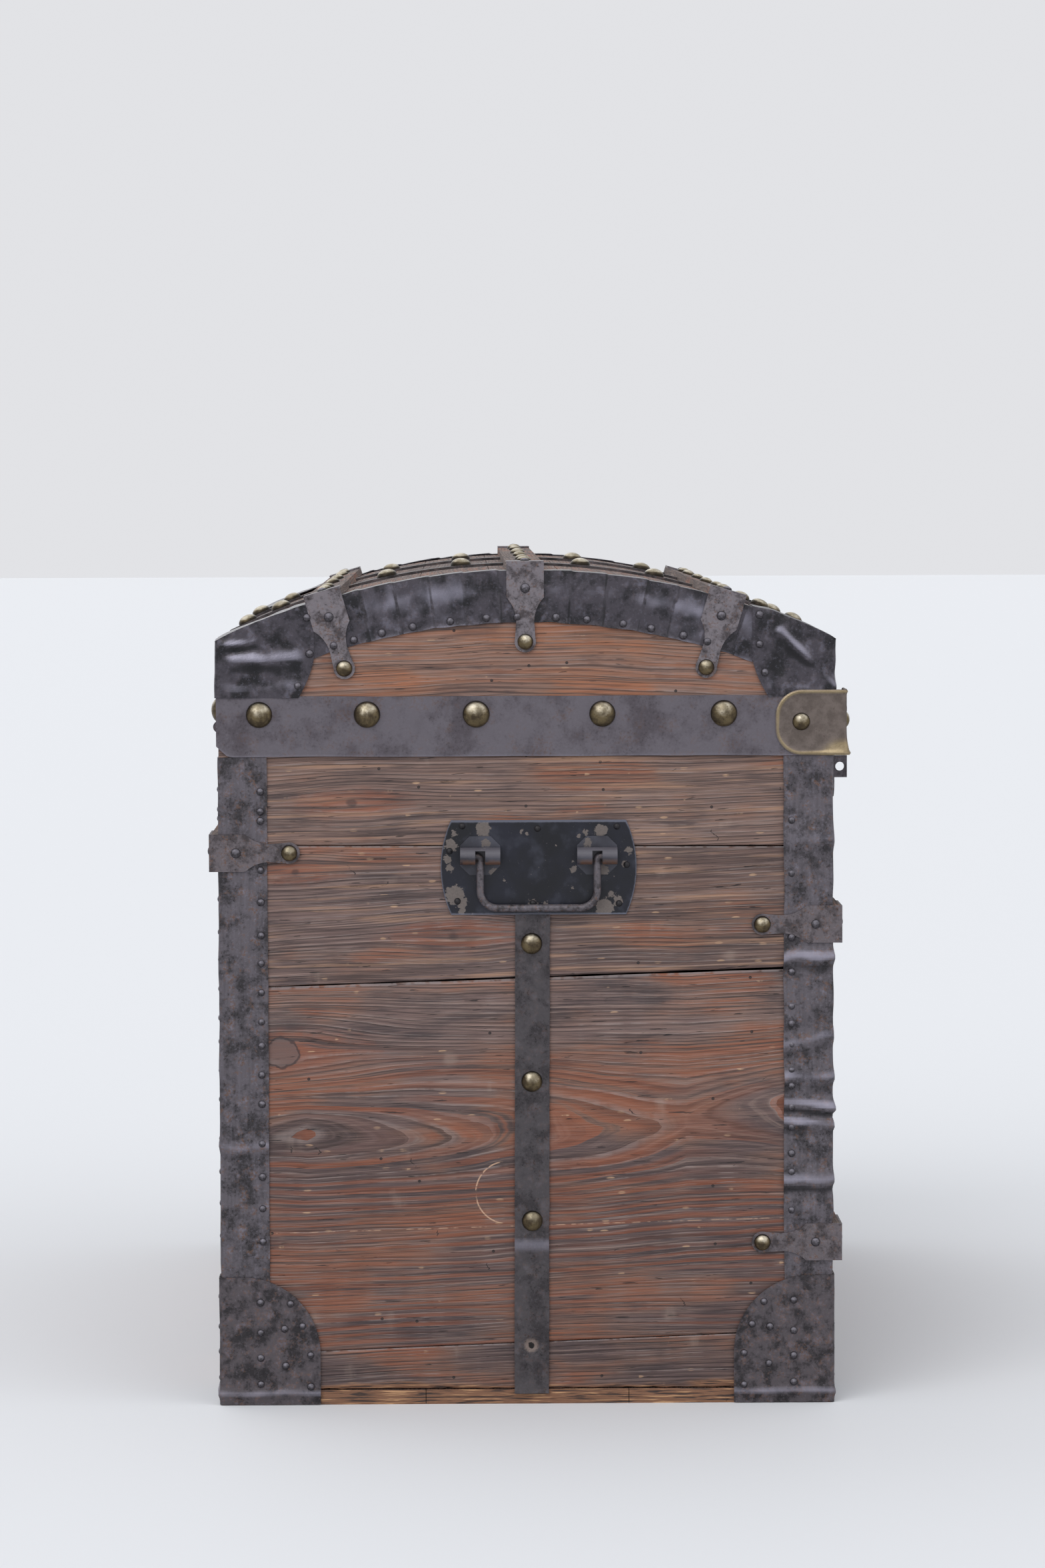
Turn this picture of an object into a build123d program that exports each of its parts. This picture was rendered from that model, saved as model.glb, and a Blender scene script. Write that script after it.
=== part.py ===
from build123d import *
import math
import os

# A dome-lid travel trunk of pine boards under iron fittings, in millimetres.
# X runs along the trunk with the near end at -X, the lock side faces -Y, and Z is up.
# The origin is the middle of the base, on the floor.

# The whole trunk
length = 800.0
depth = 460.0
body_height = 504.0
lid_height = 123.0
dome_rise = 52.5

# Boards
wall = 12.0
base_thickness = 11.0
stave_thickness = 9.0
board_gap = 0.5
base_board_count = 3
stave_count = 9
end_joint_shares = (0.069, 0.627, 0.834)
side_joint_shares = (0.36, 0.7)

# Clearances
lid_gap = 0.4
loose = 0.4
pin_play = 0.05

# Rim of the lid
band_thickness = 1.2
band_height = 45.0
band_overlap = 15.0
band_chamfer = 8.0
rail_thickness = 8.0
rim_cap_width = 53.0
rim_cap_lip = 4.0
rim_cap_round = 20.0
brass_thickness = 1.2

# Sheet-iron corners and edging
sheet = 0.8
iron_leg = 36.5
iron_lift = 0.5
base_cap_width = 75.0
base_cap_height = 97.0
base_cap_round = 58.0
lid_cap_reach = 72.0
edging_width = 38.0
edging_turn = 26.0

# Hoops, slats and clamps
hoop_width = 26.0
hoop_thickness = 2.0
hoop_share = 1 / 3
slat_width = 28.0
slat_thickness = 6.0
lid_slat_spacing = 150.0
lock_slat_clearance = 54.6
cap_slat_clearance = 11.0
hinge_slat_clearance = 31.0
clamp_thickness = 1.5
clamp_grip = 45.0
clamp_head = 27.0
clamp_waist = 13.5
clamp_waist_drop = 45.0
clamp_eye_drop = 60.0
clamp_eye_radius = 8.0
clamp_eye_angle = 18.0
clamp_bend_share = 0.22
clamp_rivet_drop = 14.0

# Strap under the handle
strap_width = 26.0
strap_thickness = 1.2
strap_offset = -4.0
strap_foot = 8.0

# Handle
handle_offset = -9.5
handle_clearance = 48.0
handle_plate_width = 146.6
handle_plate_top_width = 131.0
handle_plate_height = 71.0
handle_plate_thickness = 1.2
loop_inset = 29.55
loop_width = 30.0
loop_height = 29.0
loop_corner = 7.0
loop_plate = 1.2
loop_radius = 6.5
pivot_rise = 9.0
wire = 5.5
bail_drop = 39.0
bail_round = 13.0
bail_stub = 11.5
bail_bend = 3.5
slot_margin = 1.0

# Hinges
hinge_inset = 170.0
hinge_width = 50.0
hinge_leaf = 1.6
hinge_body_length = 42.0
knuckle_radius = 4.5
knuckle_share = 0.32
hinge_pin_radius = 2.2
pin_head_radius = 3.4
pin_head_rise = 1.5

# Lock
lock_width = 68.0
lock_height = 58.0
lock_wall = 1.5
lock_let_in = 4.0
bolt_radius = 2.5
bolt_length = 24.0
guide_thickness = 3.0
keyhole_width = 5.0
keyhole_height = 9.0
keyhole_round = 3.6
keyhole_rise = 14.0

# Hasp of the lock and the two side catches
hasp_width = 34.0
hasp_length = 60.0
hasp_thickness = 2.0
hasp_round = 12.0
hasp_lug = 4.0
lug_share = 0.62
lug_swing = 3.0
hasp_lug_height = 13.0
hasp_lug_reach = 12.0
hasp_knuckle_radius = 4.0
hasp_pin_radius = 1.9
hasp_axis_drop = 24.0
catch_inset = 150.0
catch_width = 26.0
catch_length = 62.0
keeper_width = 46.0
keeper_height = 34.0
eye_thickness = 4.0
eye_height = 17.0
eye_reach = 13.0
eye_hole = 3.5
slot_play = 2.0

# Nails, rivets and screws: head diameter, head rise, shank diameter, shank length
rim_nail = (20.0, 7.0, 3.0, 10.5)
rim_cap_nail = (13.0, 4.5, 2.6, 10.0)
hoop_nail = (16.0, 5.5, 2.6, 9.0)
strap_nail = (16.0, 5.5, 2.6, 9.5)
clamp_nail = (12.5, 4.5, 2.4, 10.0)
clamp_rivet = (7.0, 2.2, 2.4, 9.0)
slat_nail = (9.0, 2.4, 2.2, 12.0)
handle_rivet = (5.0, 1.6, 2.4, 9.0)
leaf_screw = (6.5, 1.3, 2.6, 9.0)
screw_inset_share = 0.26
screw_side_share = 0.33
rim_nail_shares = (0.865, 0.515, 0.16, -0.25, -0.645)
rim_nail_clearance = 15.0
rim_cap_clearance = 9.0
rim_inner_nail_share = 4 / 9
rim_nail_height_share = 0.7
rim_cap_nail_share = 0.56
hoop_nail_shares = (0.2, 0.45, 0.82, 0.94)
strap_nail_shares = (0.94, 0.653, 0.362, 0.101)
slat_nail_shares = (0.82, 0.6, 0.18)
handle_rivet_shares = ((-0.8, 0.86), (0.01, 0.82), (0.78, 0.88), (-0.9, 0.05), (0.91, 0.35),
                       (-0.82, -0.77), (0.06, -0.76), (0.83, -0.71))

# Values worked out from those above
half_length = length / 2
half_depth = depth / 2
body_half_length = half_length - lid_gap
body_half_depth = half_depth - lid_gap
lid_foot = body_height + lid_gap
crown = body_height + lid_height
dome_radius = (half_depth**2 + dome_rise**2) / (2 * dome_rise)
dome_centre = crown - dome_radius
under_radius = dome_radius - stave_thickness
under_edging_radius = dome_radius - edging_width
eighth_turn = math.radians(45)
dome_half_angle = math.degrees(math.asin(half_depth / dome_radius))
band_bottom = body_height - band_overlap
band_top = band_bottom + band_height
rim_face = half_depth + rail_thickness + band_thickness
iron_top = band_bottom - loose
handle_height = band_bottom - handle_clearance - handle_plate_height / 2
loop_spacing = handle_plate_width - 2 * loop_inset
front_slat_heights = (iron_top - lock_height - lock_slat_clearance - slat_width / 2,
                      base_cap_height + cap_slat_clearance + slat_width / 2)
back_slat_height = body_height - hinge_body_length - hinge_slat_clearance - slat_width / 2
hinge_spacing = length - 2 * hinge_inset
catch_spacing = length - 2 * catch_inset
overrun = wall


def block(x0, x1, y0, y1, z0, z1):
    """A straight-sided piece between two places on each axis."""
    middle = Pos((x0 + x1) / 2, (y0 + y1) / 2, (z0 + z1) / 2)
    return middle * Box(abs(x1 - x0), abs(y1 - y0), abs(z1 - z0))


def end_sheet(outline, outer, thickness):
    """A sheet on the near end, cut to an outline of Y and Z, with its outer face at X = outer."""
    return extrude(Plane.YZ.offset(outer) * outline, thickness)


def front_sheet(outline, outer, thickness):
    """A sheet on the front, cut to an outline of X and Z, with its outer face at Y = outer."""
    return extrude(Plane.XZ.offset(-outer) * outline, -thickness)


def at_far_end(piece):
    """The same piece on the far end."""
    return mirror(piece, Plane.YZ)


def at_back(piece):
    """The same piece on the back."""
    return mirror(piece, Plane.XZ)


def rolled(piece, angle):
    """A piece made at the crown of the dome, turned round the dome's axis."""
    return Pos(0, 0, dome_centre) * Rot(angle, 0, 0) * Pos(0, 0, -dome_centre) * piece


def dome_angle(distance):
    """Angle round the dome of a place at that distance from its middle line."""
    return math.degrees(math.asin(distance / dome_radius))


def outline_of(*edges):
    """A flat face inside joined edges."""
    return make_face(Curve() + list(edges))


def lid_outline(half, radius, bottom):
    """The lid's shape seen from its end: straight sides under an arc."""
    eaves = dome_centre + math.sqrt(radius**2 - half**2)
    sides = Polyline((-half, eaves), (-half, bottom), (half, bottom), (half, eaves))
    arc = ThreePointArc((half, eaves), (0, dome_centre + radius), (-half, eaves))
    return outline_of(sides, arc)


def lid_envelope(growth, bottom):
    """The whole lid as one block, grown outwards by a sheet's thickness."""
    outline = lid_outline(half_depth + growth, dome_radius + growth, bottom)
    return end_sheet(outline, -half_length - growth, length + 2 * growth)


def board_stack(x0, x1, y0, y1, joint_shares):
    """Boards one above another from the base to the top of the body, with open joints."""
    rise = body_height - base_thickness
    joints = [base_thickness + share * rise for share in joint_shares]
    lows = [base_thickness] + [joint + board_gap / 2 for joint in joints]
    highs = [joint - board_gap / 2 for joint in joints] + [body_height]
    return [block(x0, x1, y0, y1, low, high) for low, high in zip(lows, highs)]


def base_boards():
    """Boards that run along the trunk under its walls."""
    pitch = 2 * body_half_depth / base_board_count
    boards = []
    for index in range(base_board_count):
        low = -body_half_depth + index * pitch + (board_gap / 2 if index else 0)
        last = index == base_board_count - 1
        high = -body_half_depth + (index + 1) * pitch - (0 if last else board_gap / 2)
        boards.append(block(-body_half_length, body_half_length, low, high, 0, base_thickness))
    return boards


def end_boards():
    """The near end wall, as wide as the body."""
    x0, x1 = -body_half_length, -body_half_length + wall
    return board_stack(x0, x1, -body_half_depth, body_half_depth, end_joint_shares)


def front_boards():
    """The front wall, held between the end walls, with a place cut for the lock."""
    reach = body_half_length - wall
    boards = board_stack(-reach, reach, -body_half_depth, -body_half_depth + wall, side_joint_shares)
    pocket = block(-lock_width / 2, lock_width / 2, -body_half_depth - overrun,
                   -body_half_depth + lock_let_in, lock_foot, lock_top)
    return [board - pocket for board in boards]


def back_boards():
    """The back wall, held between the end walls."""
    reach = body_half_length - wall
    return board_stack(-reach, reach, body_half_depth - wall, body_half_depth, side_joint_shares)


def lid_end_board():
    """The near end board of the lid, under the ends of the staves."""
    return end_sheet(lid_outline(half_depth, under_radius, lid_foot), -half_length, wall)


def lid_front_board():
    """The front wall of the lid, its top edge planed to the underside of the staves."""
    reach = half_length - wall
    core = end_sheet(lid_outline(half_depth, under_radius, lid_foot), -reach, 2 * reach)
    return core & block(-reach, reach, -half_depth, -half_depth + wall, lid_foot, crown)


def lid_staves():
    """Narrow boards along the lid, side by side round the dome."""
    ring = (lid_outline(half_depth, dome_radius, lid_foot)
            - lid_outline(half_depth + overrun, under_radius, lid_foot - overrun))
    pitch = 2 * dome_half_angle / stave_count
    gap_angle = math.degrees(board_gap / dome_radius)
    edge_spare = pitch / 2
    staves = []
    for index in range(stave_count):
        low = -dome_half_angle + index * pitch + (gap_angle / 2 if index else -edge_spare)
        last = index == stave_count - 1
        high = -dome_half_angle + (index + 1) * pitch + (edge_spare if last else -gap_angle / 2)
        reach = 2 * dome_radius
        corners = [(0, dome_centre)]
        for angle in (low, high):
            turn = math.radians(angle)
            corners.append((reach * math.sin(turn), dome_centre + reach * math.cos(turn)))
        wedge = make_face(Polyline(*corners, close=True))
        staves.append(end_sheet(ring & wedge, -half_length, length))
    return staves


def end_rim_band():
    """The rim band on the near end, with its lower back corner cut off to clear the hinge side."""
    front, back = -half_depth - rail_thickness, half_depth
    outline = make_face(Polyline((front, band_bottom), (back - band_chamfer, band_bottom),
                                 (back, band_bottom + band_chamfer), (back, band_top),
                                 (front, band_top), close=True))
    return end_sheet(outline, -half_length - band_thickness, band_thickness)


def front_rim_rail():
    """A wooden rail along the front foot of the lid, lapping over the body."""
    return block(-half_length, half_length, -half_depth - rail_thickness, -half_depth,
                 band_bottom, band_top)


def front_rim_band():
    """The rim band over the front rail."""
    reach = half_length + band_thickness
    return block(-reach, reach, -rim_face, -rim_face + band_thickness, band_bottom, band_top)


def back_rim_band():
    """The rim band along the back of the lid, let out round the hinge leaves."""
    band = block(-half_length - band_thickness, half_length + band_thickness,
                 half_depth, half_depth + band_thickness, lid_foot, band_top)
    for side in (-1, 1):
        middle = side * hinge_spacing / 2
        band -= block(middle - hinge_width / 2, middle + hinge_width / 2,
                      half_depth - overrun, half_depth + overrun, lid_foot - overrun,
                      band_top + overrun)
    return band.solids()


def rim_cap_outline():
    """Outline of the brass corner cap on one face, from the corner at 0 towards +."""
    low, high = band_bottom, band_top + rim_cap_lip
    bow = rim_cap_round * (1 - math.cos(eighth_turn))
    width = rim_cap_width
    return outline_of(
        Polyline((width - rim_cap_round, high), (0, high), (0, low), (width - rim_cap_round, low)),
        ThreePointArc((width - rim_cap_round, low), (width - bow, low + bow),
                      (width, low + rim_cap_round)),
        Line((width, low + rim_cap_round), (width, high - rim_cap_round)),
        ThreePointArc((width, high - rim_cap_round), (width - bow, high - bow),
                      (width - rim_cap_round, high)))


def rim_corner_cap():
    """The brass cap folded round the near front corner of the rim."""
    outer_end = -half_length - band_thickness - brass_thickness
    outer_front = -rim_face - brass_thickness
    on_end = end_sheet(Pos(outer_front, 0) * rim_cap_outline(), outer_end, brass_thickness)
    on_front = front_sheet(Pos(outer_end, 0) * rim_cap_outline(), outer_front, brass_thickness)
    return on_end + on_front


def corner_iron():
    """The folded iron up the near front corner of the body."""
    x, y = -body_half_length, -body_half_depth
    on_end = block(x - sheet, x, y - sheet, y + iron_leg, iron_lift, iron_top)
    on_front = block(x - sheet, x + iron_leg, y - sheet, y, iron_lift, iron_top)
    return on_end + on_front


def base_cap_outline():
    """Outline of a bottom corner cap on one face, from the corner at 0 towards +."""
    low, high, width = iron_lift, base_cap_height, base_cap_width
    bow = base_cap_round * (1 - math.cos(eighth_turn))
    return outline_of(
        Polyline((width - base_cap_round, high), (0, high), (0, low), (width, low),
                 (width, high - base_cap_round)),
        ThreePointArc((width, high - base_cap_round), (width - bow, high - bow),
                      (width - base_cap_round, high)))


def base_cap():
    """The quarter-round cap over the corner iron at the near front bottom corner."""
    outer_end = -body_half_length - 2 * sheet
    outer_front = -body_half_depth - 2 * sheet
    on_end = end_sheet(Pos(outer_front, 0) * base_cap_outline(), outer_end, sheet)
    on_front = front_sheet(Pos(outer_end, 0) * base_cap_outline(), outer_front, sheet)
    return on_end + on_front


def lid_corner_cap():
    """The sheet-iron cap round the near front corner of the lid, over end, front and dome."""
    skin = lid_envelope(sheet, band_top) - lid_envelope(0, band_top - overrun)
    region = block(-half_length - sheet, -half_length + lid_cap_reach,
                   -half_depth - sheet, -half_depth + lid_cap_reach, band_top, crown)
    return (skin & region) - lid_edging()


def lid_edging():
    """Sheet-iron edging along the dome's near edge, turned over on to the staves."""
    outer, inner = -half_length - sheet, -half_length
    low, top = under_edging_radius, dome_radius
    section = make_face(Polyline((outer, low), (inner, low), (inner, top), (inner + edging_turn, top),
                                 (inner + edging_turn, top + sheet), (outer, top + sheet),
                                 close=True))
    spread = dome_angle(half_depth - lid_cap_reach)
    ring = revolve(Plane.XZ * section, Axis.X, revolution_arc=2 * spread)
    return Pos(0, 0, dome_centre) * Rot(-spread, 0, 0) * ring


def lid_hoop():
    """The iron hoop over the dome nearest to the near end, from rim to rim."""
    middle = -half_length + length * hoop_share
    skin = lid_envelope(hoop_thickness, band_top) - lid_envelope(0, band_top - overrun)
    return skin & block(middle - hoop_width / 2, middle + hoop_width / 2,
                        -half_depth - overrun, half_depth + overrun, band_top, crown + overrun)


def lid_slat():
    """A wooden slat along the crown of the lid."""
    return block(-half_length, half_length, -slat_width / 2, slat_width / 2,
                 dome_centre + dome_radius, dome_centre + dome_radius + slat_thickness)


def front_slat(height):
    """A wooden slat along the front of the body."""
    return block(-body_half_length, body_half_length, -body_half_depth - slat_thickness,
                 -body_half_depth, height - slat_width / 2, height + slat_width / 2)


def clamp_outline():
    """A waisted tab that hangs from its fold at 0: square head, waist and round eye."""
    half, waist = slat_width / 2, clamp_waist / 2
    join = math.radians(clamp_eye_angle)
    eye_x = clamp_eye_radius * math.cos(join)
    eye_y = -clamp_eye_drop + clamp_eye_radius * math.sin(join)
    bend_x = waist + (half - waist) * clamp_bend_share
    bend_y = -(clamp_head + clamp_waist_drop) / 2
    return outline_of(
        Polyline((-half, -clamp_head), (-half, 0), (half, 0), (half, -clamp_head)),
        ThreePointArc((half, -clamp_head), (bend_x, bend_y), (waist, -clamp_waist_drop)),
        Line((waist, -clamp_waist_drop), (eye_x, eye_y)),
        ThreePointArc((eye_x, eye_y), (0, -clamp_eye_drop - clamp_eye_radius), (-eye_x, eye_y)),
        Line((-eye_x, eye_y), (-waist, -clamp_waist_drop)),
        ThreePointArc((-waist, -clamp_waist_drop), (-bend_x, bend_y), (-half, -clamp_head)))


def lid_clamp():
    """The iron clamp folded over the near end of the crown slat."""
    outer = -half_length - sheet - clamp_thickness
    fold = dome_centre + dome_radius + slat_thickness + clamp_thickness
    hanging = end_sheet(Pos(0, fold) * clamp_outline(), outer, clamp_thickness)
    gripping = block(outer, outer + clamp_grip, -slat_width / 2, slat_width / 2,
                     fold - clamp_thickness, fold)
    return hanging + gripping


def body_clamp(height):
    """The iron clamp folded round the near front corner over the end of a front slat."""
    outer = -body_half_length - sheet - clamp_thickness
    fold = -body_half_depth - slat_thickness - clamp_thickness
    turned = Pos(fold, height) * Rot(0, 0, 90) * clamp_outline()
    on_end = end_sheet(turned, outer, clamp_thickness)
    on_front = block(outer, outer + clamp_grip, fold, fold + clamp_thickness,
                     height - slat_width / 2, height + slat_width / 2)
    return on_end + on_front


def centre_strap():
    """The flat iron strap from the near handle down to the base."""
    return block(-body_half_length - strap_thickness, -body_half_length,
                 strap_offset - strap_width / 2, strap_offset + strap_width / 2,
                 strap_foot, handle_height - handle_plate_height / 2)


def handle_plate():
    """The flat handle plate with bowed sides."""
    wide, top = handle_plate_width / 2, handle_plate_top_width / 2
    high = handle_plate_height / 2
    outline = outline_of(Line((-top, high), (top, high)),
                         ThreePointArc((top, high), (wide, 0), (top, -high)),
                         Line((top, -high), (-top, -high)),
                         ThreePointArc((-top, -high), (-wide, 0), (-top, high)))
    return end_sheet(Pos(handle_offset, handle_height) * outline,
                     -body_half_length - handle_plate_thickness, handle_plate_thickness)


pivot_height = handle_height + pivot_rise
pivot_x = -body_half_length - handle_plate_thickness - loop_radius
bore_radius = wire / 2 + loose


def handle_loop(side):
    """A riveted loop: an eight-sided plate with a rolled barrel, slotted for the bail's leg."""
    middle = handle_offset + side * loop_spacing / 2
    wide, high, cut = loop_width / 2, loop_height / 2, loop_corner
    outline = make_face(Polyline((-wide, high - cut), (-wide + cut, high), (wide - cut, high),
                                 (wide, high - cut), (wide, -high + cut), (wide - cut, -high),
                                 (-wide + cut, -high), (-wide, -high + cut), close=True))
    seat = -body_half_length - handle_plate_thickness
    plate = end_sheet(Pos(middle, pivot_height) * outline, seat - loop_plate, loop_plate)
    along = Pos(pivot_x, middle, pivot_height) * Rot(90, 0, 0)
    barrel = along * Cylinder(loop_radius, loop_width)
    barrel += block(pivot_x, seat, middle - wide, middle + wide,
                    pivot_height - bore_radius, pivot_height + bore_radius)
    slot = wire / 2 + slot_margin
    opening = block(pivot_x - 2 * loop_radius, pivot_x + bore_radius, middle - slot, middle + slot,
                    pivot_height - high, pivot_height + bore_radius + slot_margin)
    return plate + barrel - along * Cylinder(bore_radius, loop_width + overrun) - opening


def bail():
    """The wire bail, hanging down, with its ends turned outwards into the loops."""
    leg, low = loop_spacing / 2, pivot_height - bail_drop
    points = [(-leg - bail_stub, pivot_height), (-leg, pivot_height), (-leg, low), (leg, low),
              (leg, pivot_height), (leg + bail_stub, pivot_height)]
    route = FilletPolyline(*[(pivot_x, handle_offset + y, z) for y, z in points],
                           radius=[bail_bend, bail_round, bail_round, bail_bend])
    return sweep(Plane(route @ 0, z_dir=route % 0) * Circle(wire / 2), path=route)


hinge_axis_y = half_depth + band_thickness + loose + knuckle_radius
hinge_axis_z = body_height + lid_gap / 2


def knuckle_spans(width, outer):
    """Start and end, along the pin, of the outer pair of knuckles or of the middle one."""
    length_each = width * knuckle_share
    if outer:
        return [(-width / 2, -width / 2 + length_each), (width / 2 - length_each, width / 2)]
    return [(-width / 2 + length_each + loose, width / 2 - length_each - loose)]


def barrel_between(x0, x1, y, z, radius):
    """A round bar along X."""
    return Pos((x0 + x1) / 2, y, z) * Rot(0, 90, 0) * Cylinder(radius, x1 - x0)


def hinge_leaf_piece(middle, seat, z_edge, outer, upwards):
    """A leaf of a trunk hinge: a plate on the wood, its knuckles, and webs that join them."""
    sign = 1 if upwards else -1
    clear = hinge_axis_z + sign * (knuckle_radius + loose)
    leaf = block(middle - hinge_width / 2, middle + hinge_width / 2, seat, seat + hinge_leaf,
                 clear, z_edge)
    for start, end in knuckle_spans(hinge_width, outer):
        start, end = middle + start, middle + end
        edge = hinge_axis_z + sign * lid_gap
        leaf += block(start, end, seat, hinge_axis_y - knuckle_radius / 2, edge, clear)
        leaf += barrel_between(start, end, hinge_axis_y, hinge_axis_z, knuckle_radius)
        leaf -= barrel_between(start - loose, end + loose, hinge_axis_y, hinge_axis_z,
                               hinge_pin_radius + pin_play)
    return leaf


def hinge_body_leaf(middle):
    """The lower leaf of a hinge, on the back of the body."""
    return hinge_leaf_piece(middle, body_half_depth, body_height - hinge_body_length, True, False)


def hinge_lid_leaf(middle):
    """The upper leaf of a hinge, on the back of the lid."""
    return hinge_leaf_piece(middle, half_depth, band_top, False, True)


def headed_pin(middle, y, z, width, radius, head, rise):
    """A hinge pin along X with a low head on each end, against the outer knuckles."""
    pin = barrel_between(middle - width / 2, middle + width / 2, y, z, radius)
    for side in (-1, 1):
        start = middle + side * width / 2
        pin += barrel_between(min(start, start + side * rise), max(start, start + side * rise),
                              y, z, head)
    return pin


def hinge_pin(middle):
    """The pin of a trunk hinge."""
    return headed_pin(middle, hinge_axis_y, hinge_axis_z, hinge_width, hinge_pin_radius,
                      pin_head_radius, pin_head_rise)


lock_top = band_bottom - loose
lock_foot = lock_top - lock_height
lock_back = -body_half_depth + lock_let_in
hasp_axis_z = band_top - hasp_axis_drop
hasp_axis_y = -rim_face - loose - hasp_knuckle_radius
lug_height = hasp_axis_z - hasp_length * lug_share
bolt_y = -rim_face + lock_wall + (lock_back + rim_face - lock_wall) / 2


def lock_case():
    """The open-backed lock case with slots for the lug and key, and two guides for the bolt."""
    side = lock_width / 2
    case = block(-side, side, -rim_face, lock_back, lock_foot, lock_top)
    case -= block(-side + lock_wall, side - lock_wall, -rim_face + lock_wall, lock_back + overrun,
                  lock_foot + lock_wall, lock_top - lock_wall)
    slot_x, slot_z = hasp_lug / 2 + slot_play, hasp_lug_height / 2 + slot_play
    case -= block(-slot_x, slot_x, -rim_face - overrun, lock_back,
                  lug_height - slot_z - lug_swing, lug_height + slot_z)
    middle = lock_foot + keyhole_rise
    case -= block(-keyhole_width / 2, keyhole_width / 2, -rim_face - overrun, lock_back,
                  middle - keyhole_height, middle)
    case -= (Pos(0, -rim_face, middle) * Rot(90, 0, 0)
             * Cylinder(keyhole_round, 2 * (lock_wall + loose)))
    for guide in guide_places():
        case += block(guide, guide + guide_thickness, -rim_face + lock_wall, lock_back,
                      lug_height - guide_thickness - bolt_radius,
                      lug_height + guide_thickness + bolt_radius)
    bore = barrel_between(-side + lock_wall, side - lock_wall, bolt_y, lug_height,
                          bolt_radius + pin_play)
    return case - bore


def guide_places():
    """Where the two bolt guides start, on the side that the bolt draws back to."""
    first = -hasp_lug / 2 - slot_play - guide_thickness
    return (first, first - bolt_length / 3)


def lock_bolt():
    """The lock's bolt, drawn back clear of the lug."""
    tip = -hasp_lug / 2 - loose
    return barrel_between(tip - bolt_length, tip, bolt_y, lug_height, bolt_radius)


def hasp_leaf(middle, width):
    """The fixed leaf of a hasp, on the rim band."""
    y = -rim_face
    clear = hasp_axis_z + hasp_knuckle_radius + loose
    leaf = block(middle - width / 2, middle + width / 2, y - hinge_leaf, y, clear, band_top)
    for start, end in knuckle_spans(width, True):
        start, end = middle + start, middle + end
        leaf += block(start, end, hasp_axis_y + hasp_knuckle_radius / 2, y, hasp_axis_z, clear)
        leaf += barrel_between(start, end, hasp_axis_y, hasp_axis_z, hasp_knuckle_radius)
        leaf -= barrel_between(start - loose, end + loose, hasp_axis_y, hasp_axis_z,
                               hasp_pin_radius + pin_play)
    return leaf


def hasp_plate(middle, width, drop):
    """The swinging plate of a hasp: a middle knuckle and a plate with a rounded lower edge."""
    y0, y1 = -rim_face - loose - hasp_thickness, -rim_face - loose
    foot, bow = hasp_axis_z - drop, hasp_round * (1 - math.cos(eighth_turn))
    half, clear = width / 2, hasp_axis_z - hasp_knuckle_radius - loose
    outline = outline_of(
        Polyline((-half, foot + hasp_round), (-half, clear), (half, clear), (half, foot + hasp_round)),
        ThreePointArc((half, foot + hasp_round), (half - bow, foot + bow), (half - hasp_round, foot)),
        Line((half - hasp_round, foot), (-half + hasp_round, foot)),
        ThreePointArc((-half + hasp_round, foot), (-half + bow, foot + bow), (-half, foot + hasp_round)))
    plate = front_sheet(Pos(middle, 0) * outline, y0, hasp_thickness)
    for start, end in knuckle_spans(width, False):
        start, end = middle + start, middle + end
        plate += block(start, end, y0, y1, clear, hasp_axis_z)
        plate += barrel_between(start, end, hasp_axis_y, hasp_axis_z, hasp_knuckle_radius)
        plate -= barrel_between(start - loose, end + loose, hasp_axis_y, hasp_axis_z,
                                hasp_pin_radius + pin_play)
    return plate


def lock_hasp():
    """The lock's hasp, with the lug that enters the case and takes the bolt."""
    plate = hasp_plate(0, hasp_width, hasp_length)
    lug = block(-hasp_lug / 2, hasp_lug / 2, -rim_face - loose, -rim_face - loose + hasp_lug_reach,
                lug_height - hasp_lug_height / 2, lug_height + hasp_lug_height / 2)
    eye = barrel_between(-hasp_lug, hasp_lug, bolt_y, lug_height, bolt_radius + loose)
    return plate + lug - eye


def hasp_pin(middle, width):
    """The pin of a hasp or catch."""
    return headed_pin(middle, hasp_axis_y, hasp_axis_z, width, hasp_pin_radius,
                      hasp_knuckle_radius - loose, hasp_thickness / 2)


keeper_middle = hasp_axis_z - catch_length * lug_share


def side_catch(middle):
    """A side catch: a swinging plate with a slot that drops over the keeper's eye."""
    plate = hasp_plate(middle, catch_width, catch_length)
    slot_x, slot_z = eye_thickness / 2 + slot_play / 2, eye_height / 2 + slot_play
    return plate - block(middle - slot_x, middle + slot_x, -rim_face - overrun, -rim_face + overrun,
                         keeper_middle - slot_z, keeper_middle + slot_z)


def catch_keeper(middle):
    """The iron keeper on the body, with a standing eye for a padlock."""
    side, high = keeper_width / 2, keeper_height / 2
    keeper = block(middle - side, middle + side, -rim_face, -body_half_depth,
                   keeper_middle - high, keeper_middle + high)
    keeper += block(middle - eye_thickness / 2, middle + eye_thickness / 2,
                    -rim_face - eye_reach, -rim_face,
                    keeper_middle - eye_height / 2, keeper_middle + eye_height / 2)
    hole_y = -rim_face - eye_reach + eye_hole + hasp_thickness
    return keeper - barrel_between(middle - eye_thickness, middle + eye_thickness, hole_y,
                                   keeper_middle, eye_hole)


def nail(head, rise, shank, reach):
    """A domed nail along its own Z, with the underside of its head at 0."""
    radius = ((head / 2)**2 + rise**2) / (2 * rise)
    half_turn = math.atan2(head / 2, radius - rise) / 2
    side = (radius * math.sin(half_turn), rise - radius + radius * math.cos(half_turn))
    section = outline_of(Polyline((0, rise), (0, -reach), (shank / 2, -reach), (shank / 2, 0),
                                  (head / 2, 0)),
                         ThreePointArc((head / 2, 0), side, (0, rise)))
    return revolve(Plane.XZ * section, Axis.Z)


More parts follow.
